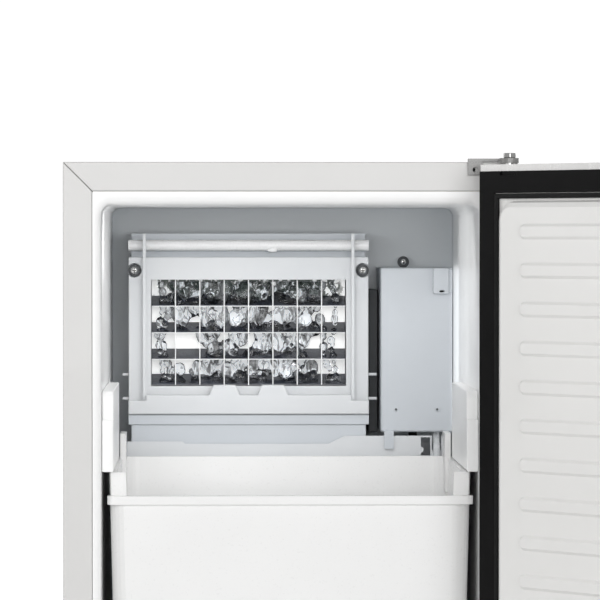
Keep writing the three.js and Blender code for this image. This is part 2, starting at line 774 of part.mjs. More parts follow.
// ---------------------------------------------------------------- evaporator, about the middle of its window
function evaporatorBezel() {
  const topZ = PLATE_Z + bezel.top;
  const lowZ = -PLATE_Z - bezel.bottom;
  const face = slab("xz", roundedRect(-BEZEL_X, BEZEL_X, lowZ, topZ, 2), 0, bezel.thickness, 0.5);
  const skirt = cut(
    box(-BEZEL_X, BEZEL_X, bezel.thickness - 0.5, 7.5, lowZ, topZ),
    box(-BEZEL_X + 2, BEZEL_X - 2, 0, 9, lowZ + 2, topZ - 2),
  );
  const window = box(-PLATE_X, PLATE_X, -2, 12, -PLATE_Z, PLATE_Z);
  const screwZ = PLATE_Z + 8.5;
  const notches = [-1, 1].map((s) =>
    union(
      rod("y", 6.6, [s * (BEZEL_X - 5.2), -1, screwZ], 12, 20),
      box(
        Math.min(s * BEZEL_X, s * (BEZEL_X - 5)) - 1,
        Math.max(s * BEZEL_X, s * (BEZEL_X - 5)) + 1,
        -1,
        11,
        screwZ - 3.6,
        screwZ + 3.6,
      ),
    ),
  );
  const ribTop = topZ + housing.header;
  const ribs = [-1, 1].map((s) => {
    const x = s * (BEZEL_X - bezel.ribInset);
    const h = bezel.ribWidth / 2;
    return box(x - h, x + h, -bezel.ribOut, 1, lowZ, ribTop);
  });
  return piece("evaporator_bezel", union(cut(union(face, skirt), window, notches), ribs), "white");
}

function bezelScrews() {
  return [-1, 1].map((s) => {
    const washer = rod("y", 5.6, [0, 1, 0], 2.4, 24);
    const head = rod("y", 3.4, [0, -0.8, 0], 2, 20, 3);
    const shank = rod("y", 1.9, [0, 3, 0], 8, 10);
    const slot = union(box(-2.2, 2.2, -2, 0.1, -0.4, 0.4), box(-0.4, 0.4, -2, 0.1, -2.2, 2.2));
    const mesh = piece(
      `bezel_screw_${s < 0 ? "left" : "right"}`,
      cut(union(washer, head, shank), slot),
      "rubber",
    );
    mesh.position.set(s * (BEZEL_X - 5.2), 0, PLATE_Z + 8.5);
    return mesh;
  });
}

function evaporatorHousing() {
  const topZ = PLATE_Z + bezel.top;
  const lowZ = -PLATE_Z - bezel.bottom;
  const headTop = topZ + housing.header;
  const w = housing.wall;
  const x = BEZEL_X - 2 - GAP;
  const y0 = 7.5 + GAP;
  const y1 = 4 + housing.depth;
  const tub = box(-x, x, y0, y1, lowZ, headTop);
  const room = box(-x + w, x - w, y0 - 1, y1 - w, lowZ + w, topZ - w - 0.3);
  const channel = box(-x - 1, x + 1, y0 - 1, housing.headerRecess, topZ, headTop + 1);
  const head = box(-x + w, x - w, housing.headerRecess + w, y1 + 1, topZ + w, headTop - w);
  const feed = rod(
    "y",
    tube.hose + GAP,
    [crossings[1].x - WINDOW.x, 0, PLATE_Z + bezel.top + housing.header / 2],
    40,
    12,
  );
  const line = rod(
    "y",
    tube.copper + tube.wallHole,
    [crossings[0].x - WINDOW.x, 40, crossings[0].z - WINDOW.z],
    60,
    12,
  );
  const hoseX = crossings[1].x - WINDOW.x;
  const notch = box(hoseX - 4, hoseX + 4, y1 - 8, y1 + 1, topZ - 4, headTop - w);
  const screwAt = [-1, 1].map((s) => [s * (BEZEL_X - 5.2), PLATE_Z + 8.5]);
  const postFrom = 4.5 + cell.depth + cell.back + GAP;
  const posts = [-1, 1].flatMap((px) =>
    [-1, 1].map(
      (pz) => rod("y", 3, [px * (PLATE_X - 38.8), postFrom, pz * cell.pitchZ], y1 - w - postFrom + 0.5, 10),
    ),
  );
  const wallGap = CAVITY_BACK - WINDOW.y - 0.6;
  const pads = [[-x + 18.8, -52], [-x + 18.8, 56], [x - 50.8, -52]].map(([px, pz]) =>
    box(px - 8, px + 8, y1 - 1, wallGap, pz - 8, pz + 8),
  );
  const bosses = screwAt.map(([sx, sz]) => rod("y", 4.4, [sx, y0, sz], 8, 16));
  const bores = screwAt.map(([sx, sz]) => rod("y", 1.9 + GAP, [sx, y0 - 1, sz], 5, 12));
  return piece(
    "evaporator_housing",
    cut(union(cut(tub, room, channel, head, feed, line, notch), bosses, posts, pads), bores),
    "grey",
  );
}

// Back plate, upright dividers and shelves that slope down to the front, joined as the tinned copper grid is.
function evaporatorGrid() {
  const y0 = 4.5;
  const y1 = y0 + cell.depth;
  const t = cell.wall / 2;
  const x = PLATE_X - GAP;
  const z = PLATE_Z - GAP;
  const parts = [box(-x, x, y1 - 0.1, y1 + cell.back, -z, z)];
  for (let i = 0; i <= cell.columns; i++) {
    const at = THREE.MathUtils.clamp(-PLATE_X + i * PITCH_X, -x + t + 0.2, x - t - 0.2);
    parts.push(box(at - t, at + t, y0, y1 + 0.5, -z + 0.3, z - 0.3));
  }
  for (let i = 0; i <= cell.rows; i++) {
    const at = THREE.MathUtils.clamp(-PLATE_Z + i * cell.pitchZ, -z + t + 0.5, z - t - 0.5);
    const rise = i === cell.rows ? 0 : cell.rise;
    const shelf = outline(
      [[y0 + 0.6, at - t], [y1 + 0.7, at - t + rise], [y1 + 0.7, at + t + rise], [y0 + 0.6, at + t]],
    );
    parts.push(slab("yz", shelf, -x + 0.4, x - 0.4));
  }
  return piece("evaporator_grid", union(parts), "tin");
}

function evaporatorCoil() {
  const y = 4.5 + cell.depth + cell.back + GAP + tube.copper;
  const reach = PLATE_X - 16;
  const points = [];
  for (let i = 0; i < cell.rows; i++) {
    const z = PLATE_Z - (i + 0.5) * cell.pitchZ;
    const s = i % 2 ? -1 : 1;
    points.push([s * reach, y, z], [s * reach * 0.3, y, z], [-s * reach * 0.3, y, z], [-s * reach, y, z]);
    if (i < cell.rows - 1) points.push([-s * (reach + 9), y, z - cell.pitchZ / 2]);
  }
  return piece("evaporator_coil", pipe(points, tube.copper, 84, 8, 0.35), "copper");
}

function distributorTube() {
  const z = PLATE_Z + bezel.top + housing.header / 2;
  const half = BEZEL_X + spray.overhang;
  const outer = rod("x", spray.radius, [-half, 0, 0], 2 * half, 24);
  const bore = rod("x", spray.radius - spray.wall, [-half - 1, 0, 0], 2 * half - 3, 16);
  const holes = [];
  for (let i = 0; i < spray.holes; i++) {
    const x = -PLATE_X + (i + 0.5) * PITCH_X;
    holes.push(rod("z", spray.holeRadius, [x, 0, -spray.radius - 1], spray.radius, 8));
  }
  const mesh = piece("distributor_tube", cut(outer, bore, holes), "white");
  mesh.position.set(0, 9, z);
  return mesh;
}

function supplyHose() {
  const end = crossings[1];
  const z = end.z - WINDOW.z;
  const x = end.x - WINDOW.x;
  const back = (CAVITY_BACK + WINDOW.y + 4 + housing.depth) / 2 - WINDOW.y;
  const run = pipe(
    [
      [CONTROL_LEFT - WINDOW.x - 1, back, z - 60],
      [x + 30, back, z - 60],
      [x + 8, back, z - 52],
      [x, back, z - 36],
      [x, back, z - 14],
      [x, back - 8, z - 2],
      [x, back - 20, z],
      [x, 40, z],
      [x, 9 + spray.radius + GAP, z],
    ],
    tube.hose - 0.6,
    50,
  );
  return piece("supply_hose", run, "white");
}

// The front lip under the window, with its two tabs.
function splashGuard() {
  const low = -PLATE_Z - 25.3;
  const side = -PLATE_Z - 12.6;
  const top = side + splash.rise;
  const inner = PLATE_X + 4.6;
  const tab = (s) => [
    [s * splash.tabAt - splash.tabBottom / 2, top],
    [s * splash.tabAt - splash.tabTop / 2, top + splash.tabHeight],
    [s * splash.tabAt + splash.tabTop / 2, top + splash.tabHeight],
    [s * splash.tabAt + splash.tabBottom / 2, top],
  ];
  const shape = outline([
    [-BEZEL_X, low], [-BEZEL_X, side], [-inner, side], [-inner, top],
    ...tab(-1), ...tab(1),
    [inner, top], [inner, side], [BEZEL_X, side], [BEZEL_X, low],
  ].reverse());
  const y1 = -bezel.ribOut - GAP;
  return piece("splash_guard", slab("xz", shape, y1 - splash.thickness, y1, 0.8), "white");
}

// Catches the water under the grid and turns it back into the reservoir.
function dripChute() {
  const top = -PLATE_Z - 25.3 - GAP;
  const w = chute.wall;
  const x = BEZEL_X - chute.inset;
  const y0 = -chute.forward;
  const y1 = chute.depth;
  const flange = box(-BEZEL_X, BEZEL_X, y0 - 1.5, y1, top - chute.flange, top);
  const body = box(-x, x, y0, y1 - 4, top - chute.height, top);
  const room = box(-x + w, x - w, y0 + w, y1 - 6, top - chute.height + w, top + 1);
  const slot = box(-x + 30, x - 30, y1 - 30, y1 - 12, top - chute.height - 1, top);
  return piece("drip_chute", cut(union(flange, body), room, slot), "grey");
}

function curtainPegs() {
  const pegs = [];
  for (const z of peg.heights) {
    pegs.push(rod("x", peg.radius, [-BEZEL_X - peg.left, 5, z], peg.left + 3, 12));
    pegs.push(rod("x", peg.radius, [BEZEL_X - 3, 5, z], peg.right + 3, 12));
  }
  return pegs;
}

// The sheet of ice that is freezing in the cells, bulging a little out of each.
function iceSheet() {
  const y0 = 4.5 + 1.2;
  const y1 = 4.5 + cell.depth - 0.8;
  const lumps = [];
  for (let i = 0; i < cell.columns; i++) {
    for (let j = 0; j < cell.rows; j++) {
      // The outer cells are narrower by the plate's own edge.
      const edge = GAP + cell.wall / 2;
      const x0 = -PLATE_X + i * PITCH_X + edge + (i === 0 ? edge : 0);
      const x1 = -PLATE_X + (i + 1) * PITCH_X - edge - (i === cell.columns - 1 ? edge : 0);
      const low = -PLATE_Z + j * cell.pitchZ + cell.wall / 2 + GAP + (j === 0 ? GAP + cell.wall / 2 : 0);
      const high = low + cell.pitchZ - 2 * cell.wall - 2 * GAP;
      const rear = low + cell.rise + 0.8;
      const side = outline(
        [[y0, low + 0.6], [y1, rear], [y1, Math.max(rear + 4, high - 2)], [y0 + 3, high - 3], [y0, high - 7]],
      );
      lumps.push(slab("yz", side, x0, x1));
    }
  }
  const film = box(-PLATE_X + 3, PLATE_X - 3, 2.2, 3.9, -PLATE_Z + 5, PLATE_Z - 4);
  const bridges = [];
  for (let i = 0; i < cell.columns; i++) {
    for (let j = 0; j < cell.rows; j++) {
      const x = -PLATE_X + (i + 0.5) * PITCH_X;
      const z = -PLATE_Z + (j + 0.5) * cell.pitchZ - 2;
      bridges.push(box(x - 5, x + 5, 3, y0 + 2, z - 5, z + 4));
    }
  }
  return piece("ice_sheet", union(film, lumps, bridges), "ice");
}

function evaporatorGroup() {
  const bezelMesh = evaporatorBezel();
  const pegged = cut(
    union(solid(bezelMesh.geometry), curtainPegs()),
    box(-BEZEL_X + 2, BEZEL_X - 2, 3.2, 9, -PLATE_Z - bezel.bottom + 2, PLATE_Z),
  );
  bezelMesh.geometry = geometryOf(pegged);
  const g = group(
    bezelMesh,
    bezelScrews(),
    evaporatorHousing(),
    evaporatorGrid(),
    evaporatorCoil(),
    distributorTube(),
    supplyHose(),
    splashGuard(),
    dripChute(),
    iceSheet(),
  );
  g.position.copy(WINDOW);
  return g;
}

// ---------------------------------------------------------------- control housing
function controlGroup() {
  const w = control.wall;
  const y0 = CONTROL_FRONT;
  const y1 = y0 + control.coverDepth;
  const cover = cut(
    slab("xz", roundedRect(CONTROL_LEFT, CONTROL_RIGHT, CONTROL_BOTTOM, CONTROL_TOP, 1.5), y0, y1, 1.2),
    box(CONTROL_LEFT + w, CONTROL_RIGHT - w, y0 + w, y1 + 1, CONTROL_BOTTOM + w, CONTROL_TOP - w),
    rod("z", 4 + GAP, [PUMP_TUBE_X - 20, y0 + 26, CONTROL_BOTTOM - 1], 6, 16),
    rod("z", tube.hose + 1.2, [PUMP_TUBE_X, y0 + 12, CONTROL_BOTTOM - 1], 6, 16),
    [-1, 1].map(
      (s) => rod(
        "y",
        1.3,
        [(CONTROL_LEFT + CONTROL_RIGHT) / 2 + s * 18.7, y0 - 1, CONTROL_BOTTOM + 20.6],
        8,
        12,
      ),
    ),
  );
  const latch = box(
    CONTROL_LEFT + 2.8,
    CONTROL_LEFT + 11.4,
    y0 - 7.5,
    y0 - 5.6,
    CONTROL_BOTTOM - 15,
    CONTROL_BOTTOM + 1.5,
  );
  const latchArm = box(
    CONTROL_LEFT + 2.8,
    CONTROL_LEFT + 11.4,
    y0 - 7.5,
    y0 + 1,
    CONTROL_BOTTOM + 0.1,
    CONTROL_BOTTOM + 1.6,
  );
  const back = slab(
    "xz",
    roundedRect(CONTROL_LEFT, CONTROL_RIGHT, CONTROL_BOTTOM, CONTROL_TOP, 2),
    y1 + GAP,
    y1 + GAP + 2,
  );
  const frameWall = cut(
    box(CONTROL_LEFT, CONTROL_RIGHT, y1 + GAP + 1, CAVITY_BACK - 0.6, CONTROL_BOTTOM, CONTROL_TOP),
    box(CONTROL_LEFT + w, CONTROL_RIGHT - w, y1 + 4, CAVITY_BACK, CONTROL_BOTTOM + w, CONTROL_TOP - w),
  );
  const earX = CONTROL_LEFT + 24;
  const ear = cut(
    union(
      rod("y", 5.6, [earX, y1 + 12, CONTROL_TOP + 5], 3, 24),
      box(earX - 5.6, earX + 5.6, y1 + 12, y1 + 15, CONTROL_TOP - 1, CONTROL_TOP + 5),
    ),
    rod("y", 2.4, [earX, y1 + 8, CONTROL_TOP + 5], 12, 16),
  );
  const hoseExit = rod("x", tube.hose, [CONTROL_LEFT - 3, 0, 0], 8, 12).translate(
    [0, (CAVITY_BACK + WINDOW.y + 4 + housing.depth) / 2, crossings[1].z - 60],
  );
  const fillHole = rod("y", tube.hose + 1, [crossings[2].x, y1 - 2, crossings[2].z], 60, 12);
  const switchX = CONTROL_RIGHT - 17.7;
  const doorSwitch = cut(
    union(
      slab(
        "xz",
        roundedRect(switchX, CONTROL_RIGHT - 3.6, CONTROL_TOP - 23.5, CONTROL_TOP, 1.6),
        y0 - 6,
        y0 - GAP,
        0.6,
      ),
      slab(
        "xz",
        roundedRect(switchX + 8, CONTROL_RIGHT, CONTROL_TOP - 22, CONTROL_TOP - 1, 1.6),
        y0 - 3,
        y0 - GAP,
        0.6,
      ),
    ),
    slab(
      "xz",
      roundedRect(switchX + 6, switchX + 10.4, CONTROL_TOP - 21.6, CONTROL_TOP - 20, 0.7),
      y0 - 8,
      y0 - 3,
    ),
  );
  const screws = [-1, 1].map((s) => {
    const x = (CONTROL_LEFT + CONTROL_RIGHT) / 2 + s * 18.7;
    const made = union(
      rod("y", 2.1, [x, y0 - 0.9, CONTROL_BOTTOM + 20.6], 0.8, 16, 2.1),
      rod("y", 1, [x, y0 - 0.5, CONTROL_BOTTOM + 20.6], 10, 10),
    );
    return piece(`cover_screw_${s < 0 ? "left" : "right"}`, made, "steel");
  });
  const boardY = y1 - 12;
  const board = union(
    box(CONTROL_LEFT + 6, CONTROL_RIGHT - 6, boardY, boardY + 1.6, CONTROL_BOTTOM + 62, CONTROL_TOP - 10),
    box(
      CONTROL_LEFT + 12,
      CONTROL_LEFT + 30,
      boardY - 16,
      boardY + 0.5,
      CONTROL_BOTTOM + 100,
      CONTROL_BOTTOM + 122,
    ),
    box(
      CONTROL_RIGHT - 28,
      CONTROL_RIGHT - 12,
      boardY - 10,
      boardY + 0.5,
      CONTROL_BOTTOM + 74,
      CONTROL_BOTTOM + 90,
    ),
    rod("y", 5, [CONTROL_RIGHT - 20, boardY - 14, CONTROL_BOTTOM + 112], 15, 14),
    [CONTROL_LEFT + 10, CONTROL_RIGHT - 10].map(
      (x) => rod("y", 2.5, [x, boardY + 1, CONTROL_BOTTOM + 66], 10.7, 10),
    ),
    [CONTROL_LEFT + 10, CONTROL_RIGHT - 10].map(
      (x) => rod("y", 2.5, [x, boardY + 1, CONTROL_TOP - 14], 10.7, 10),
    ),
  );
  const pumpX = PUMP_TUBE_X - 20;
  const pump = union(
    rod("z", 17, [pumpX, y0 + 26, CONTROL_BOTTOM + 8], 40, 24),
    rod("z", 4, [pumpX, y0 + 26, CONTROL_BOTTOM + 46], 8, 12),
    rod("z", 12, [pumpX, y0 + 26, CONTROL_BOTTOM + w + GAP], 8, 20),
    rod(
      "z",
      4,
      [pumpX, y0 + 26, RESERVOIR_BOTTOM + reservoir.wall + 4],
      CONTROL_BOTTOM - RESERVOIR_BOTTOM,
      16,
    ),
  );
  const overflowY = RESERVOIR_FRONT - tube.hose - 0.8;
  const overflow = pipe(
    [
      [PUMP_TUBE_X, y0 + 12, CONTROL_BOTTOM + 1.5],
      [PUMP_TUBE_X, y0 + 12, CONTROL_BOTTOM - 4],
      [PUMP_TUBE_X, y0 + 6, CONTROL_BOTTOM - 9],
      [PUMP_TUBE_X, overflowY + 2, CONTROL_BOTTOM - 11.5],
      [PUMP_TUBE_X, overflowY, CONTROL_BOTTOM - 18],
      [PUMP_TUBE_X, overflowY, CONTROL_BOTTOM - 60],
      [PUMP_TUBE_X, overflowY, cavity.floor + 12],
    ],
    tube.hose,
    30,
    10,
  );
  return group(
    piece("control_cover", union(cover, latch, latchArm), "grey"),
    piece("control_back", cut(union(back, frameWall, ear), hoseExit, fillHole), "grey"),
    piece("door_switch", doorSwitch, "grey"),
    screws,
    piece("circuit_board", board, "board"),
    piece("water_pump", pump, "black"),
    piece("overflow_tube", overflow, "grey"),
  );
}

// A dark duct on the back wall, between the evaporator and the control housing, for the wires.
function wiringChannel() {
  const x0 = WINDOW.x + BEZEL_X + 1.2;
  const x1 = CONTROL_LEFT - 1.2;
  const z0 = CONTROL_BOTTOM - 2;
  const z1 = CONTROL_TOP - 20;
  const y0 = WINDOW.y + 30;
  const y1 = CAVITY_BACK - 0.6;
  const duct = cut(box(x0, x1, y0, y1, z0, z1), box(x0 + 1.2, x1 - 1.2, y0 + 1.5, y1 + 1, z0 - 1, z1 - 1.5));
  const hosePath = box(
    x0 - 1,
    x1 + 1,
    CAVITY_BACK - 14,
    CAVITY_BACK,
    crossings[1].z - 60 - 5,
    crossings[1].z - 60 + 5,
  );
  return piece("wiring_channel", cut(duct, hosePath), "black");
}

// ---------------------------------------------------------------- ice bin and its guides
// A rounded tub that narrows to its floor; grow moves every wall out, or in when it is below zero.
function binTub(grow, z0, z1) {
  const half = CAVITY_X - bin.rimSide - 1.5;
  const front = FRONT + bin.front + bin.rim;
  const rear = BIN_REAR;
  const g = new THREE.ExtrudeGeometry(
    roundedRect(-1, 1, -1, 1, 0.1),
    { depth: 1, bevelEnabled: false, curveSegments: 3 },
  );
  const p = g.attributes.position;
  const span = BIN_TOP - cavity.floor;
  for (let i = 0; i < p.count; i++) {
    const z = THREE.MathUtils.lerp(z0, z1, p.getZ(i));
    const drop = Math.max(0, (BIN_TOP - z) / span);
    const x = half - drop * bin.draft + grow;
    const y0 = front + drop * 3 - grow;
    const y1 = rear - drop * bin.draft + grow;
    p.setXYZ(i, p.getX(i) * x, THREE.MathUtils.lerp(y0, y1, (p.getY(i) + 1) / 2), z);
  }
  return solid(g);
}

function iceBin() {
  const half = CAVITY_X - bin.rimSide;
  const y0 = FRONT + bin.front;
  const y1 = BIN_REAR;
  const floorZ = cavity.floor + bin.floorGap;
  const room = binTub(-bin.wall, floorZ + bin.wall + 6, BIN_TOP + 1);
  const runners = [-1, 1].map(
    (s) => box(s * 110 - 8, s * 110 + 8, y0 + 30, y1 - 40, floorZ - GAP, floorZ + 8),
  );
  const openFront = box(-half - 1, half + 1, y0 - 5, y0 + bin.rim + 8, RIM_TOP, BIN_TOP + 2);
  const rim = slab("xy", roundedRect(-half, half, y0, y0 + 40, 5), RIM_TOP - bin.rimHeight, RIM_TOP);
  const rimFront = rim.intersect(box(-half - 1, half + 1, y0 - 1, y0 + bin.rim + 12, 0, TOP));
  const tub = cut(union(binTub(0, floorZ + 6, BIN_TOP), rimFront), room, openFront);
  const earX = CAVITY_X - guide.thickness - 0.8;
  const ears = [-1, 1].map((s) =>
    box(
      Math.min(s * earX, s * (earX - bin.earWidth)),
      Math.max(s * earX, s * (earX - bin.earWidth)),
      y1 - bin.earDepth,
      y1 - 1,
      BIN_TOP - 30,
      CAVITY_TOP - bin.earDrop,
    ),
  );
  return piece("ice_bin", union(tub, ears, runners), "white");
}

function binGuides() {
  return [-1, 1].map((s) => {
    const y = (d) => FRONT + d;
    const back = CAVITY_BACK - guide.toBack;
    const bottom = CAVITY_TOP - guide.bottomDrop;
    const middle = CAVITY_TOP - guide.middleDrop;
    const top = CAVITY_TOP - guide.topDrop;
    const shape = new THREE.Shape();
    shape.moveTo(y(guide.front), bottom);
    shape.lineTo(back, bottom);
    shape.lineTo(back, top);
    shape.lineTo(y(guide.front + guide.step + guide.round), top);
    shape.quadraticCurveTo(
      y(guide.front + guide.step),
      top,
      y(guide.front + guide.step),
      top - guide.round,
    );
    shape.lineTo(y(guide.front + guide.step), middle);
    shape.lineTo(y(guide.front), middle);
    shape.lineTo(y(guide.front), bottom);
    const x0 = s < 0 ? -CAVITY_X + GAP : CAVITY_X - guide.thickness;
    const x1 = s < 0 ? -CAVITY_X + guide.thickness : CAVITY_X - GAP;
    const plate = slab("yz", shape, x0, x1, 0.8, 6);
    return piece(`bin_guide_${s < 0 ? "left" : "right"}`, plate, "white");
  });
}

// ---------------------------------------------------------------- door, about its pin, drawn closed
const doorBox = {
  x0: -SIDE - PIN.x,
  x1: SIDE - PIN.x,
  y0: door.pinToInner - door.thickness,
  y1: door.pinToInner,
};

function frameRing(x0, x1, z0, z1, width, y0, y1) {
  return cut(
    box(x0, x1, y0, y1, z0, z1),
    box(x0 + width, x1 - width, y0 - 1, y1 + 1, z0 + width, z1 - width),
  );
}

// Room in the black frame for the hinge bracket's tab when the door is shut.
function tabRelief() {
  const b = doorBox;
  return box(-36.5, -16.5, b.y1 + GAP - 0.2, b.y1 + 8, DOOR_TOP - 9, DOOR_TOP + 2);
}

function doorSkin() {
  const b = doorBox;
  const t = door.sheet;
  const outer = slab("xy", roundedRect(b.x0, b.x1, b.y0, b.y1 + 6, 4), door.bottom, DOOR_TOP).intersect(
    box(b.x0 - 1, b.x1 + 1, b.y0 - 1, b.y1, door.bottom - 1, DOOR_TOP + 1),
  );
  const inner = box(b.x0 + t, b.x1 - t, b.y0 + t, b.y1 - t, door.bottom + t, DOOR_TOP - t);
  const mouth = box(b.x0 + t, b.x1 - t, b.y0 + 2, b.y1 + 1, door.bottom + door.lip, DOOR_TOP - door.lip);
  const pinHoles = union(
    rod("z", hinge.bore, [0, 0, DOOR_TOP - 30], 40, 16),
    rod("z", hinge.bore, [0, 0, door.bottom - 5], 37, 16),
  );
  return piece("door_skin", cut(outer, inner, mouth, pinHoles), "steel");
}

function doorCore() {
  const b = doorBox;
  const t = door.sheet + GAP;
  const block = box(b.x0 + t, b.x1 - t, b.y0 + t, b.y1 - 3, door.bottom + t, DOOR_TOP - t);
  const pinHoles = union(
    rod("z", hinge.bore + 1, [0, 0, DOOR_TOP - 32], 42, 16),
    rod("z", hinge.bore + 1, [0, 0, door.bottom - 5], 37, 16),
  );
  return piece("door_core", cut(block, pinHoles), "foam");
}

// The white inner panel: a flat edge, sloped sides and the raised middle with its ribs.
function doorLiner() {
  const b = doorBox;
  const y = b.y1;
  const edge = door.sheet + GAP;
  const sheet = box(
    b.x0 + edge,
    b.x1 - edge,
    y - 2.6,
    y + 0.1,
    door.bottom + door.lip + GAP,
    DOOR_TOP - door.lip - GAP,
  );
  const inset = door.plugInset;
  const plugBottom = cavity.floor - door.plugSlope + 2.5; // clears the mouth's lower lip
  const corner = 2 * cavity.corner;
  const shape = roundedRect(b.x0 + inset, b.x1 - inset, plugBottom, DOOR_TOP - inset - 3, corner);
  const raised = new THREE.ExtrudeGeometry(shape, {
    depth: 0.2,
    curveSegments: 4,
    bevelEnabled: true,
    bevelSize: door.plugSlope,
    bevelOffset: -door.plugSlope,
    bevelThickness: door.plugHeight,
    bevelSegments: 2,
  })
    .rotateX(Math.PI / 2)
    .translate(0, y + 0.1, 0);
  const plug = solid(raised).intersect(box(b.x0, b.x1, y - 1, y + 40, 0, TOP));
  const face = y + door.plugHeight;
  const ribs = [];
  const count = Math.floor((DOOR_TOP - door.bottom - 2 * rib.fromTop) / rib.pitch) + 1;
  for (let i = 0; i < count; i++) {
    const z = DOOR_TOP - rib.fromTop - i * rib.pitch;
    const x0 = b.x0 + inset + rib.inset;
    const x1 = b.x1 - inset - rib.inset;
    const g = new THREE.ExtrudeGeometry(
      roundedRect(x0, x1, z - rib.height / 2, z + rib.height / 2, rib.height / 2 - 1),
      {
        depth: 0.2,
        curveSegments: 2,
        bevelEnabled: true,
        bevelSize: 2.4,
        bevelOffset: -2.4,
        bevelThickness: rib.raise,
        bevelSegments: 1,
      },
    );
    g.rotateX(Math.PI / 2).translate(0, face, 0);
    ribs.push(solid(g));
  }
  return piece("door_liner", union(sheet, plug, ribs), "white");
}

function doorFrame() {
  const b = doorBox;
  const ring = frameRing(
    b.x0 + 1,
    b.x1 - 1,
    door.bottom + door.lip,
    DOOR_TOP - door.lip,
    door.frame - 1,
    b.y1 + GAP,
    b.y1 + GAP + door.frameThickness,
  );
  return piece("door_frame", cut(ring, tabRelief()), "black");
}

function doorGasket() {
  const b = doorBox;
  const inset = door.frame + 0.6;
  const width = door.plugInset - door.frame - 3.8;
  const ring = frameRing(
    b.x0 + inset,
    b.x1 - inset,
    door.bottom + inset + 4.4,
    DOOR_TOP - inset - 4.4,
    width,
    b.y1 + GAP,
    b.y1 + GAP + 2.8,
  );
  return piece("door_gasket", ring, "rubber");
}

function doorHandle() {
  const b = doorBox;
  const x = b.x0 + handle.inset;
  const y = b.y0 - handle.standoff;
  const middle = (door.bottom + DOOR_TOP) / 2 + 60;
  const bar = rod("z", handle.radius, [x, y, middle - handle.length / 2], handle.length, 24);
  const posts = [-1, 1].map((s) =>
    rod("y", handle.postRadius, [x, y, middle + s * (handle.length / 2 - 40)], handle.standoff - GAP, 16),
  );
  return piece("door_handle", union(bar, posts), "steel");
}

function doorGroup() {
  const g = group(
    doorSkin(),
    doorCore(),
    doorLiner(),
    doorFrame(),
    doorGasket(),
    doorHandle(),
  );
  g.position.copy(PIN);
  g.rotation.z = THREE.MathUtils.degToRad(door.openAngle);
  return g;
}

// ---------------------------------------------------------------- cabinet-side hinges
function hinges() {
  const armZ = TOP + GAP;
  const armX0 = PIN.x - 31;
  const arm = union(
    box(armX0, SIDE - 0.5, FRONT - 3.6, FRONT + rail.depth - GAP, armZ, armZ + hinge.plate),
    box(PIN.x - hinge.disc, PIN.x + hinge.disc, PIN.y, FRONT, armZ, armZ + hinge.plate),
    rod("z", hinge.disc, [PIN.x, PIN.y, armZ - 1.7], hinge.plate + 1.7, 24),
  );
  const tab = cut(
    box(armX0 - 2, armX0 + 10.4, FRONT - 3.6, FRONT - GAP, TOP - 11, armZ + hinge.plate),
    rod("y", 2.2, [armX0 + 4.2, FRONT - 5, TOP - 6.6], 8, 20),
  );
  const pinHole = rod("z", hinge.pin + GAP / 2, [PIN.x, PIN.y, armZ - 4], 12, 16);
  const top = cut(union(arm, tab), pinHole);

  const washerZ = armZ + hinge.plate + GAP / 2;
  const topPin = union(
    rod("z", hinge.pin, [PIN.x, PIN.y, DOOR_TOP - 26], washerZ - DOOR_TOP + 27, 16),
    rod("z", hinge.head, [PIN.x, PIN.y, washerZ], hinge.headHeight, 6),
  );

  const lowZ = rail.bottom - GAP - hinge.plate;
  const lowPlate = union(
    box(armX0, SIDE - 0.5, FRONT - 3, FRONT + rail.depth, lowZ, lowZ + hinge.plate),
    box(PIN.x - hinge.disc, PIN.x + hinge.disc, PIN.y, FRONT, lowZ, lowZ + hinge.plate),
    rod("z", hinge.disc, [PIN.x, PIN.y, lowZ], hinge.plate + 1.2, 24),
    rod("z", hinge.pin, [PIN.x, PIN.y, lowZ + 1], 24, 16),
  );
  return group(
    piece("hinge_bracket_top", top, "steel"),
    piece("hinge_pin_top", topPin, "steel"),
    piece("hinge_bracket_bottom", lowPlate, "steel"),
  );
}

// ---------------------------------------------------------------- the whole machine
const iceMaker = group(
  outerCase(),
  frontRails(),
  innerLiner(),
  insulationFoam(),
  rearPanel(),
  pan(),
  levellingFeet(),
  kickGrille(),
  powerSwitch(),
  compressor(),
  condenser(),
  fanShroud(),
  fanMotor(),
  fanBlades(),
  suctionLine(),
  inletValve(),
  fillTube(),
  drainHose(),
  powerInlet(),
  reservoirTank(),
  evaporatorGroup(),
  controlGroup(),
  wiringChannel(),
  iceBin(),
  binGuides(),
  hinges(),
  doorGroup(),
);

export default iceMaker;
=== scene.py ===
import json
import math
import random

import bmesh
import bpy
from bpy.props import FloatProperty, FloatVectorProperty, IntProperty, PointerProperty
from mathutils import Matrix, Vector, noise

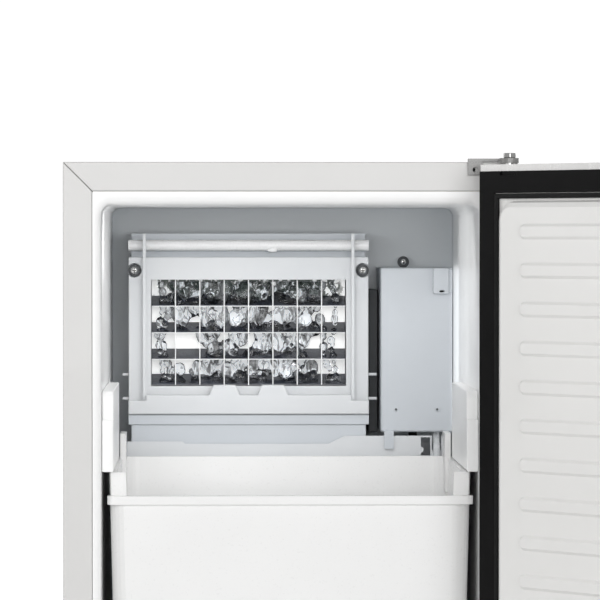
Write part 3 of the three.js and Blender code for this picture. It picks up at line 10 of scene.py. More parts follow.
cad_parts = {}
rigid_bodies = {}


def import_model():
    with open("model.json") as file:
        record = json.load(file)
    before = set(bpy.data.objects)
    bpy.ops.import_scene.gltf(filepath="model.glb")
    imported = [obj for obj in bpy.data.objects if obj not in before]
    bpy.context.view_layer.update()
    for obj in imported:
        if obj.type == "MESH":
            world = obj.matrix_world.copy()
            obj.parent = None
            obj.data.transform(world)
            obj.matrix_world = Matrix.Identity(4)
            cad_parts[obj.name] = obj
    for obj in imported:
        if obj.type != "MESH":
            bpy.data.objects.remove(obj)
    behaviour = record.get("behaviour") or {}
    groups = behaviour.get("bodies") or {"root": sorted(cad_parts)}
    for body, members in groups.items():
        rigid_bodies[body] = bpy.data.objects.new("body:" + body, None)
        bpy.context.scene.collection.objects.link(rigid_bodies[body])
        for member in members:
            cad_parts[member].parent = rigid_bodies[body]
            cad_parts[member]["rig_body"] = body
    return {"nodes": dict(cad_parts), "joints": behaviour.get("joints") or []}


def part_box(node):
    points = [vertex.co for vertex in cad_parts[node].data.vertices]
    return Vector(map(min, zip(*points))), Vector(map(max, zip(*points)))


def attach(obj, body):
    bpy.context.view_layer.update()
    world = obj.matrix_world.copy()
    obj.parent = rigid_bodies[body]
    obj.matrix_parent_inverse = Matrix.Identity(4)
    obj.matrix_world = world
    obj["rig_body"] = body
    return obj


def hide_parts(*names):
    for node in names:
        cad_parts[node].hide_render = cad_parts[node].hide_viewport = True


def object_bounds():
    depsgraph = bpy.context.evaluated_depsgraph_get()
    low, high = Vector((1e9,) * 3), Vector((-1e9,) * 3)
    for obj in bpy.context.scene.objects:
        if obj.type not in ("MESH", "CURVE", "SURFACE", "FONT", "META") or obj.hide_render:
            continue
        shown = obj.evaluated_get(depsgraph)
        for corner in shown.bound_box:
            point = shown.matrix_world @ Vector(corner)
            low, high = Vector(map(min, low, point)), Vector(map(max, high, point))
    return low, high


bl_info = {
    "name": "Clear Ice Maker",
    "version": (1, 0, 0),
    "blender": (4, 5, 0),
    "location": "View3D > Sidebar > Ice Maker",
    "description": "Finishes the cabinet, door, bin and ice circuit of an undercounter ice maker",
    "category": "Object",
}

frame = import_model()
CAD_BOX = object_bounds()
CELL_COLUMNS, CELL_ROWS = 8, 4
GLOSS_FREE = "cavity"  # lamps with this in their name light walls but don't show in glossy surfaces
SCREW_RIM = 0.12  # thickness of a screw's washer as a share of its radius
SCREW_DOME = 0.56  # height of a pan head as a share of its radius
SHARP_ANGLE = 28.0  # degrees past which an edge is rounded
SMOOTH_ANGLE = 32.0  # degrees up to which a rounded piece shades as one surface
SHELF_RISE = 0.0088  # how far a shelf climbs from its front to its back


# ---------------------------------------------------------------- settings
class CabinetSettings(bpy.types.PropertyGroup):
    paint: FloatVectorProperty(
        name="Paint", description="Colour of the cabinet's paint", subtype="COLOR",
        default=(0.66, 0.655, 0.645), min=0, max=1,
    )
    edge: FloatProperty(
        name="Edge softness", description="Width of the rounding on sheet metal edges",
        default=0.0005, min=0, unit="LENGTH",
    )


class IceSettings(bpy.types.PropertyGroup):
    seed: IntProperty(name="Seed", description="Which pattern of lumps the ice takes", default=4, min=0)
    lump: FloatProperty(
        name="Lump size", description="Mean radius of a lump of ice",
        default=0.0056, min=0.001, unit="LENGTH",
    )
    voxel: FloatProperty(
        name="Fineness", description="Size of the detail kept where lumps have run together",
        default=0.0008, min=0.0004, unit="LENGTH",
    )


class PlasticSettings(bpy.types.PropertyGroup):
    white: FloatVectorProperty(
        name="White plastic", description="Colour of the liner, bin and door liner", subtype="COLOR",
        default=(0.93, 0.932, 0.93), min=0, max=1,
    )
    pale: FloatVectorProperty(
        name="Pale plastic", description="Colour of the control housing and water parts", subtype="COLOR",
        default=(0.56, 0.592, 0.628), min=0, max=1,
    )
    edge: FloatProperty(
        name="Edge softness", description="Width of the rounding on moulded edges",
        default=0.0006, min=0, unit="LENGTH",
    )


# ---------------------------------------------------------------- shader groups
def new_group(name, inputs, outputs):
    tree = bpy.data.node_groups.new(name, "ShaderNodeTree")
    for label, kind, default in inputs:
        socket = tree.interface.new_socket(label, in_out="INPUT", socket_type=kind)
        socket.default_value = default
    for label, kind in outputs:
        tree.interface.new_socket(label, in_out="OUTPUT", socket_type=kind)
    source = tree.nodes.new("NodeGroupInput")
    sink = tree.nodes.new("NodeGroupOutput")
    return tree, source, sink


def add_node(tree, kind, **values):
    node = tree.nodes.new(kind)
    for key, value in values.items():
        if hasattr(node, key):
            setattr(node, key, value)
        else:
            node.inputs[key.replace("_", " ")].default_value = value
    return node


def tone_drift_group():
    """Two close tones of one colour, mixed by broad soft clouds."""
    tree, source, sink = new_group(
        "Tone Drift",
        [
            ("Tone", "NodeSocketColor", (0.8, 0.8, 0.8, 1)),
            ("Other Tone", "NodeSocketColor", (0.75, 0.75, 0.75, 1)),
            ("Scale", "NodeSocketFloat", 8.0),
        ],
        [("Color", "NodeSocketColor"), ("Mask", "NodeSocketFloat")],
    )
    place = tree.nodes.new("ShaderNodeTexCoord")
    clouds = add_node(tree, "ShaderNodeTexNoise", Detail=4.0, Roughness=0.55)
    spread = add_node(tree, "ShaderNodeMapRange")
    spread.inputs["From Min"].default_value = 0.35
    spread.inputs["From Max"].default_value = 0.65
    mix = tree.nodes.new("ShaderNodeMix")
    mix.data_type = "RGBA"
    tree.links.new(place.outputs["Object"], clouds.inputs["Vector"])
    tree.links.new(source.outputs["Scale"], clouds.inputs["Scale"])
    tree.links.new(clouds.outputs["Fac"], spread.inputs["Value"])
    tree.links.new(spread.outputs["Result"], mix.inputs["Factor"])
    tree.links.new(source.outputs["Tone"], mix.inputs[6])
    tree.links.new(source.outputs["Other Tone"], mix.inputs[7])
    tree.links.new(mix.outputs[2], sink.inputs["Color"])
    tree.links.new(spread.outputs["Result"], sink.inputs["Mask"])
    return tree


def surface_grain_group():
    """Fine height and gloss variation; the stretch turns even pebbling into a brushed direction."""
    tree, source, sink = new_group(
        "Surface Grain",
        [
            ("Scale", "NodeSocketFloat", 900.0),
            ("Stretch", "NodeSocketVector", (1.0, 1.0, 1.0)),
            ("Gloss Low", "NodeSocketFloat", 0.3),
            ("Gloss High", "NodeSocketFloat", 0.4),
        ],
        [("Height", "NodeSocketFloat"), ("Roughness", "NodeSocketFloat")],
    )
    place = tree.nodes.new("ShaderNodeTexCoord")
    stretch = tree.nodes.new("ShaderNodeVectorMath")
    stretch.operation = "MULTIPLY"
    grain = add_node(tree, "ShaderNodeTexNoise", Detail=3.0, Roughness=0.6)
    gloss = tree.nodes.new("ShaderNodeMapRange")
    gloss.inputs["From Min"].default_value = 0.3
    gloss.inputs["From Max"].default_value = 0.7
    tree.links.new(place.outputs["Object"], stretch.inputs[0])
    tree.links.new(source.outputs["Stretch"], stretch.inputs[1])
    tree.links.new(stretch.outputs["Vector"], grain.inputs["Vector"])
    tree.links.new(source.outputs["Scale"], grain.inputs["Scale"])
    tree.links.new(grain.outputs["Fac"], gloss.inputs["Value"])
    tree.links.new(source.outputs["Gloss Low"], gloss.inputs["To Min"])
    tree.links.new(source.outputs["Gloss High"], gloss.inputs["To Max"])
    tree.links.new(grain.outputs["Fac"], sink.inputs["Height"])
    tree.links.new(gloss.outputs["Result"], sink.inputs["Roughness"])
    return tree


def settled_dust_group():
    """Lets a little dust settle on faces that look up."""
    tree, source, sink = new_group(
        "Settled Dust",
        [
            ("Color", "NodeSocketColor", (0.8, 0.8, 0.8, 1)),
            ("Dust", "NodeSocketColor", (0.55, 0.54, 0.52, 1)),
            ("Amount", "NodeSocketFloat", 0.15),
        ],
        [("Color", "NodeSocketColor")],
    )
    place = tree.nodes.new("ShaderNodeTexCoord")
    geometry = tree.nodes.new("ShaderNodeNewGeometry")
    parts = tree.nodes.new("ShaderNodeSeparateXYZ")
    up = tree.nodes.new("ShaderNodeMapRange")
    up.inputs["From Min"].default_value = 0.5
    specks = add_node(tree, "ShaderNodeTexNoise", Scale=240.0, Detail=5.0)
    both = tree.nodes.new("ShaderNodeMath")
    both.operation = "MULTIPLY"
    share = tree.nodes.new("ShaderNodeMath")
    share.operation = "MULTIPLY"
    mix = tree.nodes.new("ShaderNodeMix")
    mix.data_type = "RGBA"
    tree.links.new(geometry.outputs["Normal"], parts.inputs[0])
    tree.links.new(parts.outputs["Z"], up.inputs["Value"])
    tree.links.new(place.outputs["Object"], specks.inputs["Vector"])
    tree.links.new(up.outputs["Result"], both.inputs[0])
    tree.links.new(specks.outputs["Fac"], both.inputs[1])
    tree.links.new(both.outputs["Value"], share.inputs[0])
    tree.links.new(source.outputs["Amount"], share.inputs[1])
    tree.links.new(share.outputs["Value"], mix.inputs["Factor"])
    tree.links.new(source.outputs["Color"], mix.inputs[6])
    tree.links.new(source.outputs["Dust"], mix.inputs[7])
    tree.links.new(mix.outputs[2], sink.inputs["Color"])
    return tree


def painted_depth_shade_group():
    """Painted shade: fades from one colour at the front to another at the back, so that the back of a recess
    looks shaded.
    """
    tree, source, sink = new_group(
        "Painted Depth Shade",
        [
            ("Near", "NodeSocketColor", (0.8, 0.8, 0.8, 1)),
            ("Far", "NodeSocketColor", (0.4, 0.4, 0.4, 1)),
            ("Start", "NodeSocketFloat", 0.0),
            ("End", "NodeSocketFloat", 0.1),
        ],
        [("Color", "NodeSocketColor"), ("Mask", "NodeSocketFloat")],
    )
    place = tree.nodes.new("ShaderNodeTexCoord")
    parts = tree.nodes.new("ShaderNodeSeparateXYZ")
    spread = tree.nodes.new("ShaderNodeMapRange")
    spread.interpolation_type = "SMOOTHSTEP"
    mix = tree.nodes.new("ShaderNodeMix")
    mix.data_type = "RGBA"
    tree.links.new(place.outputs["Object"], parts.inputs[0])
    tree.links.new(parts.outputs["Y"], spread.inputs["Value"])
    tree.links.new(source.outputs["Start"], spread.inputs["From Min"])
    tree.links.new(source.outputs["End"], spread.inputs["From Max"])
    tree.links.new(spread.outputs["Result"], mix.inputs["Factor"])
    tree.links.new(source.outputs["Near"], mix.inputs[6])
    tree.links.new(source.outputs["Far"], mix.inputs[7])
    tree.links.new(mix.outputs[2], sink.inputs["Color"])
    tree.links.new(spread.outputs["Result"], sink.inputs["Mask"])
    return tree


def shared_groups():
    if "Tone Drift" not in bpy.data.node_groups:
        tone_drift_group()
        painted_depth_shade_group()
        surface_grain_group()
        settled_dust_group()
    return bpy.data.node_groups


def rgba(color, factor=1.0):
    return tuple(min(1.0, c * factor) for c in color[:3]) + (1.0,)


def finish_material(
    name, color, *, other=None, drift=7.0, dust=0.0, metallic=0.0, rough=(0.35, 0.45), grain=900.0,
    stretch=(1, 1, 1), bump=0.02, distance=0.0002, coat=0.0, specular=0.5, painted_depth_shade=None,
):
    """A Principled material that draws on the shared groups."""
    if name in bpy.data.materials:
        return bpy.data.materials[name]
    groups = shared_groups()
    mat = bpy.data.materials.new(name)
    mat.use_nodes = True
    tree = mat.node_tree
    shader = tree.nodes["Principled BSDF"]
    shader.inputs["Metallic"].default_value = metallic
    shader.inputs["Coat Weight"].default_value = coat
    shader.inputs["Specular IOR Level"].default_value = specular
    tone = tree.nodes.new("ShaderNodeGroup")
    tone.node_tree = groups["Tone Drift"]
    tone.inputs["Tone"].default_value = rgba(color)
    tone.inputs["Other Tone"].default_value = rgba(other or color, 1.0 if other else 0.965)
    tone.inputs["Scale"].default_value = drift
    # painted shade: the colour darkens from its own tone at the front to a far tone at the back
    if painted_depth_shade:
        far, start, end = painted_depth_shade
        shade_fade = tree.nodes.new("ShaderNodeGroup")
        shade_fade.node_tree = groups["Painted Depth Shade"]
        shade_fade.inputs["Near"].default_value = rgba(color)
        shade_fade.inputs["Far"].default_value = rgba(far)
        shade_fade.inputs["Start"].default_value = start
        shade_fade.inputs["End"].default_value = end
        tree.links.new(shade_fade.outputs["Color"], tone.inputs["Tone"])
        dimmer = tree.nodes.new("ShaderNodeHueSaturation")
        dimmer.inputs["Value"].default_value = 0.97
        tree.links.new(shade_fade.outputs["Color"], dimmer.inputs["Color"])
        tree.links.new(dimmer.outputs["Color"], tone.inputs["Other Tone"])
    surface = tree.nodes.new("ShaderNodeGroup")
    surface.node_tree = groups["Surface Grain"]
    surface.inputs["Scale"].default_value = grain
    surface.inputs["Stretch"].default_value = stretch
    surface.inputs["Gloss Low"].default_value = rough[0]
    surface.inputs["Gloss High"].default_value = rough[1]
    relief = tree.nodes.new("ShaderNodeBump")
    relief.inputs["Strength"].default_value = bump
    relief.inputs["Distance"].default_value = distance
    if dust:
        settled = tree.nodes.new("ShaderNodeGroup")
        settled.node_tree = groups["Settled Dust"]
        settled.inputs["Amount"].default_value = dust
        tree.links.new(tone.outputs["Color"], settled.inputs["Color"])
        tree.links.new(settled.outputs["Color"], shader.inputs["Base Color"])
    else:
        tree.links.new(tone.outputs["Color"], shader.inputs["Base Color"])
    tree.links.new(surface.outputs["Roughness"], shader.inputs["Roughness"])
    tree.links.new(surface.outputs["Height"], relief.inputs["Height"])
    tree.links.new(relief.outputs["Normal"], shader.inputs["Normal"])
    return mat


def finish(name):
    """The named finishes of the machine."""
    cabinet = bpy.context.scene.ice_maker_cabinet
    plastic = bpy.context.scene.ice_maker_plastic
    table = {
        "cabinet paint": dict(
            color=cabinet.paint, drift=5.0, rough=(0.36, 0.46), grain=420.0, bump=0.10, coat=0.12, dust=0.05,
        ),
        "back paint": dict(
            color=(0.62, 0.62, 0.61), drift=5.0,
            rough=(0.42, 0.55), grain=500.0, bump=0.15, dust=0.1,
        ),
        "brushed stainless": dict(
            color=(0.60, 0.595, 0.585), other=(0.54, 0.535, 0.53), metallic=1.0, rough=(0.24, 0.40),
            grain=1500.0, stretch=(1.0, 1.0, 0.02), bump=0.06,
        ),
        "bright zinc": dict(
            color=(0.20, 0.199, 0.196), other=(0.15, 0.149, 0.146), metallic=1.0,
            rough=(0.26, 0.46), grain=700.0, bump=0.08,
        ),
        "bright screw": dict(
            color=(0.80, 0.80, 0.79), other=(0.70, 0.70, 0.69), metallic=1.0,
            rough=(0.16, 0.26), grain=900.0, bump=0.05,
        ),
        "hinge steel": dict(
            color=(0.27, 0.268, 0.262), other=(0.21, 0.209, 0.204), rough=(0.22, 0.36), grain=900.0,
            bump=0.08, coat=0.15,
        ),
        "seal rubber": dict(
            color=(0.004, 0.004, 0.0042), other=(0.007, 0.007, 0.0072), drift=30.0,
            rough=(0.45, 0.6), grain=1100.0,
            bump=0.08, specular=0.16,
        ),
        "white liner plastic": dict(
            color=plastic.white, drift=4.0, rough=(0.28, 0.38), grain=650.0, bump=0.04, coat=0.1,
            # painted shade: the liner turns grey-blue towards its back wall, where shade falls in the deep
            # cavity
            painted_depth_shade=((0.60, 0.635, 0.66), 0.095, 0.1275),
        ),
        "white bin plastic": dict(
            color=(0.84, 0.84, 0.835), other=(0.815, 0.815, 0.81), drift=6.0,
            rough=(0.26, 0.36), grain=520.0, bump=0.05,
        ),
        "door liner plastic": dict(
            color=(0.84, 0.835, 0.82), other=(0.81, 0.805, 0.79), drift=5.0,
            rough=(0.30, 0.42), grain=700.0, bump=0.06,
        ),
        "white bezel plastic": dict(
            color=(0.67, 0.685, 0.70), other=(0.64, 0.66, 0.68), drift=12.0,
            rough=(0.32, 0.44), grain=900.0, bump=0.05,
        ),
        "pale blue plastic": dict(
            color=plastic.pale, other=(0.535, 0.567, 0.602), drift=10.0,
            rough=(0.34, 0.46), grain=900.0, bump=0.06,
        ),
        "white tube plastic": dict(
            color=(0.90, 0.905, 0.91), drift=20.0,
            rough=(0.25, 0.33), grain=800.0, bump=0.03,
        ),
        "black plastic": dict(
            color=(0.002, 0.002, 0.0022), other=(0.003, 0.003, 0.0032), drift=20.0,
            rough=(0.42, 0.58), grain=1400.0,
            bump=0.10, specular=0.10,
        ),
        # painted shade: dark grey for the deep, shaded gap between housing and control box
        "painted gap shade": dict(
            color=(0.050, 0.055, 0.060), other=(0.036, 0.040, 0.044), drift=18.0,
            rough=(0.45, 0.6), grain=900.0, bump=0.08,
        ),
        "grey rubber": dict(
            color=(0.10, 0.105, 0.11), other=(0.075, 0.08, 0.085), drift=60.0,
            rough=(0.5, 0.65), grain=1500.0, bump=0.1,
        ),
        "black enamel": dict(
            color=(0.014, 0.014, 0.015), other=(0.022, 0.021, 0.020), drift=14.0,
            rough=(0.28, 0.42), grain=350.0,
            bump=0.12, coat=0.2, dust=0.35,
        ),
        "copper": dict(
            color=(0.80, 0.38, 0.22), other=(0.52, 0.24, 0.14), drift=40.0, metallic=1.0,
            rough=(0.24, 0.44), grain=500.0, bump=0.06,
        ),
        # painted shade: near black for the shade and dark reflections on the wet cell bottoms
        "shelf metal with painted shade": dict(
            color=(0.045, 0.052, 0.072), other=(0.02, 0.023, 0.033), drift=60.0, metallic=0.2,
            rough=(0.12, 0.28), grain=220.0,
            bump=0.25, distance=0.0006,
        ),
        "grid wire white": dict(
            color=(0.90, 0.905, 0.91), drift=40.0,
            rough=(0.25, 0.36), grain=600.0, bump=0.04,
        ),
        "circuit board": dict(
            color=(0.015, 0.13, 0.06), other=(0.02, 0.17, 0.08), drift=150.0,
            rough=(0.3, 0.5), grain=2500.0, bump=0.2, coat=0.3,
        ),
        "blown foam": dict(
            color=(0.80, 0.70, 0.42), other=(0.70, 0.58, 0.30), drift=30.0,
            rough=(0.8, 0.95), grain=300.0, bump=0.8, distance=0.002,
        ),
        "milky tube": dict(
            color=(0.66, 0.68, 0.69), other=(0.58, 0.60, 0.62), drift=50.0,
            rough=(0.22, 0.32), grain=700.0, bump=0.04,
        ),
    }
    return finish_material(name, **table[name])


def cell_plate_material(low, high):
    """The white plate behind the cells, with a painted glow of its own, painted shade where the wet top row
    hides the light, and painted glints in that shade.
    """
    mat = finish_material(
        "cell plate", (0.95, 0.955, 0.95), other=(0.93, 0.935, 0.93), drift=25.0,
        rough=(0.2, 0.34), grain=400.0, bump=0.05,
    )
    tree = mat.node_tree
    shader = tree.nodes["Principled BSDF"]
    # painted glow: the plate emits light of its own colour, as if lit from behind
    shader.inputs["Emission Strength"].default_value = 0.42
    tone = shader.inputs["Base Color"].links[0].from_socket
    # painted shade: a ragged dark patch over the top row of cells
    middle = ((low.x + high.x) / 2, 0, high.z - (high.z - low.z) / 8 + 0.002)
    reach = ((high.x - low.x) * 0.47, 1.0, (high.z - low.z) / 8)
    place = tree.nodes.new("ShaderNodeTexCoord")
    centred = tree.nodes.new("ShaderNodeMapping")
    centred.vector_type = "TEXTURE"
    centred.inputs["Location"].default_value = middle
    centred.inputs["Scale"].default_value = reach
    wander = add_node(tree, "ShaderNodeTexNoise", Scale=90.0, Detail=3.0)
    parts = tree.nodes.new("ShaderNodeSeparateXYZ")
    across = tree.nodes.new("ShaderNodeMath")
    across.operation = "ABSOLUTE"
    upright = tree.nodes.new("ShaderNodeMath")
    upright.operation = "ABSOLUTE"
    most = tree.nodes.new("ShaderNodeMath")
    most.operation = "MAXIMUM"
    ragged = tree.nodes.new("ShaderNodeMath")
    ragged.operation = "MULTIPLY_ADD"
    ragged.inputs[1].default_value = 0.35
    dark = tree.nodes.new("ShaderNodeMapRange")
    dark.inputs["From Min"].default_value = 1.12
    dark.inputs["From Max"].default_value = 1.22
    dark.inputs["To Min"].default_value = 0.0
    mix = tree.nodes.new("ShaderNodeMix")
    mix.data_type = "RGBA"
    # painted highlights: bright glints scattered through the painted shade
    painted_glints = add_node(tree, "ShaderNodeTexNoise", Scale=210.0, Detail=2.0)
    wet = tree.nodes.new("ShaderNodeValToRGB")
    stops = ((0.0, (0.012, 0.017, 0.014)), (0.52, (0.035, 0.047, 0.040)), (0.60, (0.80, 0.82, 0.82)))
    wet.color_ramp.elements.new(0.5)
    for element, (at, color) in zip(wet.color_ramp.elements, stops):
        element.position = at
        element.color = (*color, 1)
    tree.links.new(place.outputs["Object"], painted_glints.inputs["Vector"])
    tree.links.new(painted_glints.outputs["Fac"], wet.inputs["Fac"])
    tree.links.new(wet.outputs["Color"], mix.inputs[6])
    tree.links.new(place.outputs["Object"], centred.inputs["Vector"])
    tree.links.new(place.outputs["Object"], wander.inputs["Vector"])
    tree.links.new(centred.outputs["Vector"], parts.inputs[0])
    tree.links.new(parts.outputs["X"], across.inputs[0])
    tree.links.new(parts.outputs["Z"], upright.inputs[0])
    tree.links.new(across.outputs["Value"], most.inputs[0])
    tree.links.new(upright.outputs["Value"], most.inputs[1])
    tree.links.new(wander.outputs["Fac"], ragged.inputs[0])
    tree.links.new(most.outputs["Value"], ragged.inputs[2])
    tree.links.new(ragged.outputs["Value"], dark.inputs["Value"])
    tree.links.new(dark.outputs["Result"], mix.inputs["Factor"])
    tree.links.new(tone, mix.inputs[7])
    tree.links.new(mix.outputs[2], shader.inputs["Base Color"])
    tree.links.new(mix.outputs[2], shader.inputs["Emission Color"])
    return mat


def painted_ice_streaks_group():
    """Painted light and shade: light and dark streaks where running water bends the light, drawn out
    downwards.
    """
    tree, source, sink = new_group(
        "Painted Ice Streaks",
        [("Scale", "NodeSocketFloat", 150.0), ("Twist", "NodeSocketFloat", 2.0)],
        [("Color", "NodeSocketColor"), ("Height", "NodeSocketFloat")],
    )
    place = tree.nodes.new("ShaderNodeTexCoord")
    drawn = tree.nodes.new("ShaderNodeMapping")
    drawn.inputs["Scale"].default_value = (1.0, 0.6, 0.40)
    streaks = add_node(tree, "ShaderNodeTexNoise", Detail=2.5, Roughness=0.5)
    ramp = tree.nodes.new("ShaderNodeValToRGB")
    stops = ((0.33, 0.01), (0.40, 0.22), (0.45, 0.98), (0.58, 1.0), (0.62, 0.12), (0.67, 0.96))
    while len(ramp.color_ramp.elements) < len(stops):
        ramp.color_ramp.elements.new(0.5)
    for element, (at, level) in zip(ramp.color_ramp.elements, stops):
        element.position = at
        element.color = (level * 0.95, level * 0.97, level, 1)
    tree.links.new(place.outputs["Object"], drawn.inputs["Vector"])
    tree.links.new(drawn.outputs["Vector"], streaks.inputs["Vector"])
    tree.links.new(source.outputs["Scale"], streaks.inputs["Scale"])
    tree.links.new(source.outputs["Twist"], streaks.inputs["Distortion"])
    tree.links.new(streaks.outputs["Fac"], ramp.inputs["Fac"])
    tree.links.new(ramp.outputs["Color"], sink.inputs["Color"])
    tree.links.new(streaks.outputs["Fac"], sink.inputs["Height"])
    return tree


def clear_ice_material():
    """Clear ice with painted light and shade: bright in the middle of a lump, painted dark where it turns
    away, crossed by painted light and dark streaks where water runs.
    """
    mat = bpy.data.materials.new("clear ice")
    mat.use_nodes = True
    tree = mat.node_tree
    shader = tree.nodes["Principled BSDF"]
    shader.inputs["Transmission Weight"].default_value = 1.0
    shader.inputs["Roughness"].default_value = 0.02
    shader.inputs["IOR"].default_value = 1.33
    # painted shade: the colour turns dark where the lump's surface turns away from the view
    turn = tree.nodes.new("ShaderNodeLayerWeight")
    turn.inputs["Blend"].default_value = 0.40
    ramp = tree.nodes.new("ShaderNodeValToRGB")
    ramp.color_ramp.elements[0].position = 0.20
    ramp.color_ramp.elements[0].color = (0.98, 0.985, 0.99, 1)
    ramp.color_ramp.elements[1].position = 0.66
    ramp.color_ramp.elements[1].color = (0.06, 0.065, 0.08, 1)
    # painted light and shade: light and dark streaks multiplied into the ice colour
    water = tree.nodes.new("ShaderNodeGroup")
    water.node_tree = painted_ice_streaks_group()
    water.inputs["Scale"].default_value = 95.0
    water.inputs["Twist"].default_value = 2.0
    both = tree.nodes.new("ShaderNodeMix")
    both.data_type = "RGBA"
    both.blend_type = "MULTIPLY"
    both.inputs["Factor"].default_value = 0.85
    relief = tree.nodes.new("ShaderNodeBump")
    relief.inputs["Strength"].default_value = 0.4
    relief.inputs["Distance"].default_value = 0.0012
    tree.links.new(turn.outputs["Facing"], ramp.inputs["Fac"])
    tree.links.new(ramp.outputs["Color"], both.inputs[6])
    tree.links.new(water.outputs["Color"], both.inputs[7])
    tree.links.new(both.outputs[2], shader.inputs["Base Color"])
    tree.links.new(water.outputs["Height"], relief.inputs["Height"])
    tree.links.new(relief.outputs["Normal"], shader.inputs["Normal"])
    return mat


def floor_material():
    """Pale paper with a painted glow for the camera that grows with distance, lifting it to white as a lit
    studio sweep does.
    """
    mat = finish_material(
        "studio floor", (0.86, 0.86, 0.86), drift=0.8, rough=(0.6, 0.7), grain=40.0, bump=0.01,
    )
    tree = mat.node_tree
    shader = tree.nodes["Principled BSDF"]
    place = tree.nodes.new("ShaderNodeTexCoord")
    far = tree.nodes.new("ShaderNodeVectorMath")
    far.operation = "LENGTH"
    # painted light: the floor emits for camera rays, more with distance from the machine
    painted_glow = tree.nodes.new("ShaderNodeMapRange")
    painted_glow.inputs["From Min"].default_value = 0.5
    painted_glow.inputs["From Max"].default_value = 3.0
    painted_glow.inputs["To Min"].default_value = 0.25
    painted_glow.inputs["To Max"].default_value = 0.95
    path = tree.nodes.new("ShaderNodeLightPath")
    seen = tree.nodes.new("ShaderNodeMath")
    seen.operation = "MULTIPLY"
    tree.links.new(place.outputs["Object"], far.inputs[0])
    tree.links.new(far.outputs["Value"], painted_glow.inputs["Value"])
    tree.links.new(painted_glow.outputs["Result"], seen.inputs[0])
    tree.links.new(path.outputs["Is Camera Ray"], seen.inputs[1])
    tree.links.new(seen.outputs["Value"], shader.inputs["Emission Strength"])
    shader.inputs["Emission Color"].default_value = (1, 1, 1, 1)
    return mat


# ---------------------------------------------------------------- mesh helpers
def body_of(node):
    return frame["nodes"][node]["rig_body"]


def make_piece(name, bm, body, materials, angle=35.0, replaces=(), keep_normals=False):
    """Turns a bmesh into a finished piece that rides on a body and stands for CAD nodes."""
    mesh = bpy.data.meshes.new(name)
    if not keep_normals:
        bmesh.ops.recalc_face_normals(bm, faces=bm.faces)
    bm.to_mesh(mesh)
    bm.free()
    for material in materials:
        mesh.materials.append(material)
    mesh.shade_smooth()
    mesh.set_sharp_from_angle(angle=math.radians(angle))
    piece = bpy.data.objects.new(name, mesh)
    bpy.context.scene.collection.objects.link(piece)
    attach(piece, body)
    if replaces:
        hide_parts(*replaces)
    return piece


def merged_copy(node):
    """The CAD node's own shape as a bmesh with shared corners."""
    bm = bmesh.new()
    bm.from_mesh(frame["nodes"][node].data)
    bmesh.ops.remove_doubles(bm, verts=bm.verts, dist=2e-6)
    return bm


def round_edges(bm, width, segments=2):
    """Bevels the edges that turn by more than the sharp angle."""
    limit = math.radians(SHARP_ANGLE)
    edges = [e for e in bm.edges if len(e.link_faces) == 2 and e.calc_face_angle(0) > limit]
    if edges and width > 0:
        bmesh.ops.bevel(
            bm, geom=edges, offset=width, offset_type="OFFSET", affect="EDGES", segments=segments,
            profile=0.5, material=-1, clamp_overlap=True,
        )


def soft_piece(node, material, width=0.0005, segments=2):
    """Stands for a CAD node with softened edges and a finish of its own."""
    bm = merged_copy(node)
    round_edges(bm, width, segments)
    piece = make_piece(
        node + "_finished", bm, body_of(node), [finish(material)], SMOOTH_ANGLE, [node],
        keep_normals=True,
    )
    weight = piece.modifiers.new("Even shading", "WEIGHTED_NORMAL")
    weight.keep_sharp = True
    return piece


def turned(bm, profile, centre, axis=(0, 0, 1), steps=48):
    """Spins a profile of (radius, height) points about an axis through centre."""
    axis = Vector(axis).normalized()
    side = axis.orthogonal().normalized()
    verts = [bm.verts.new(Vector(centre) + side * r + axis * h) for r, h in profile]
    edges = [bm.edges.new((a, b)) for a, b in zip(verts, verts[1:])]
    bmesh.ops.spin(
        bm, geom=verts + edges, cent=centre, axis=axis, angle=2 * math.pi, steps=steps, use_merge=True,
    )
    bmesh.ops.remove_doubles(bm, verts=bm.verts, dist=1e-6)


def block(bm, low, high):
    """A box between two corners."""
    low, high = Vector(low), Vector(high)
    made = bmesh.ops.create_cube(bm, size=1.0)["verts"]
    bmesh.ops.scale(bm, vec=high - low, verts=made)
    bmesh.ops.translate(bm, vec=(low + high) / 2, verts=made)
    return made


def pan_screw(name, centre, radius, washer, node, head, dark):
    """A pan head screw on its washer, facing the front, its cross recess drawn as a black cross of painted
    shade.
    """
    bm = bmesh.new()
    rim = washer * SCREW_RIM
    turned(
        bm,
        [(0, 0), (washer, 0), (washer, rim), (washer - rim, rim * 1.6), (0, rim * 1.6)],
        centre, (0, -1, 0), 40,
    )
    make_piece(name + "_washer", bm, body_of(node), [finish(dark)])
    bm = bmesh.new()
    seat = Vector(centre) + Vector((0, -rim * 1.7, 0))
    turned(
        bm,
        [
            (0, 0), (radius, 0), (radius, radius * 0.25), (radius * 0.82, radius * 0.45),
            (radius * 0.5, radius * 0.54), (0, radius * SCREW_DOME),
        ],
        seat, (0, -1, 0), 40,
    )
    make_piece(name + "_head", bm, body_of(node), [finish(head)])
    # painted shade: the recess is a black cross set into the head
    bm = bmesh.new()
    face = seat.y - radius * SCREW_DOME
    arm, half = radius * 0.58, radius * 0.13
    block(bm, (seat.x - arm, face - 0.00005, seat.z - half), (seat.x + arm, face + 0.0003, seat.z + half))
    block(bm, (seat.x - half, face - 0.00006, seat.z - arm), (seat.x + half, face + 0.0003, seat.z + arm))
    make_piece(name + "_recess_shade", bm, body_of(node), [finish("black plastic")], keep_normals=True)


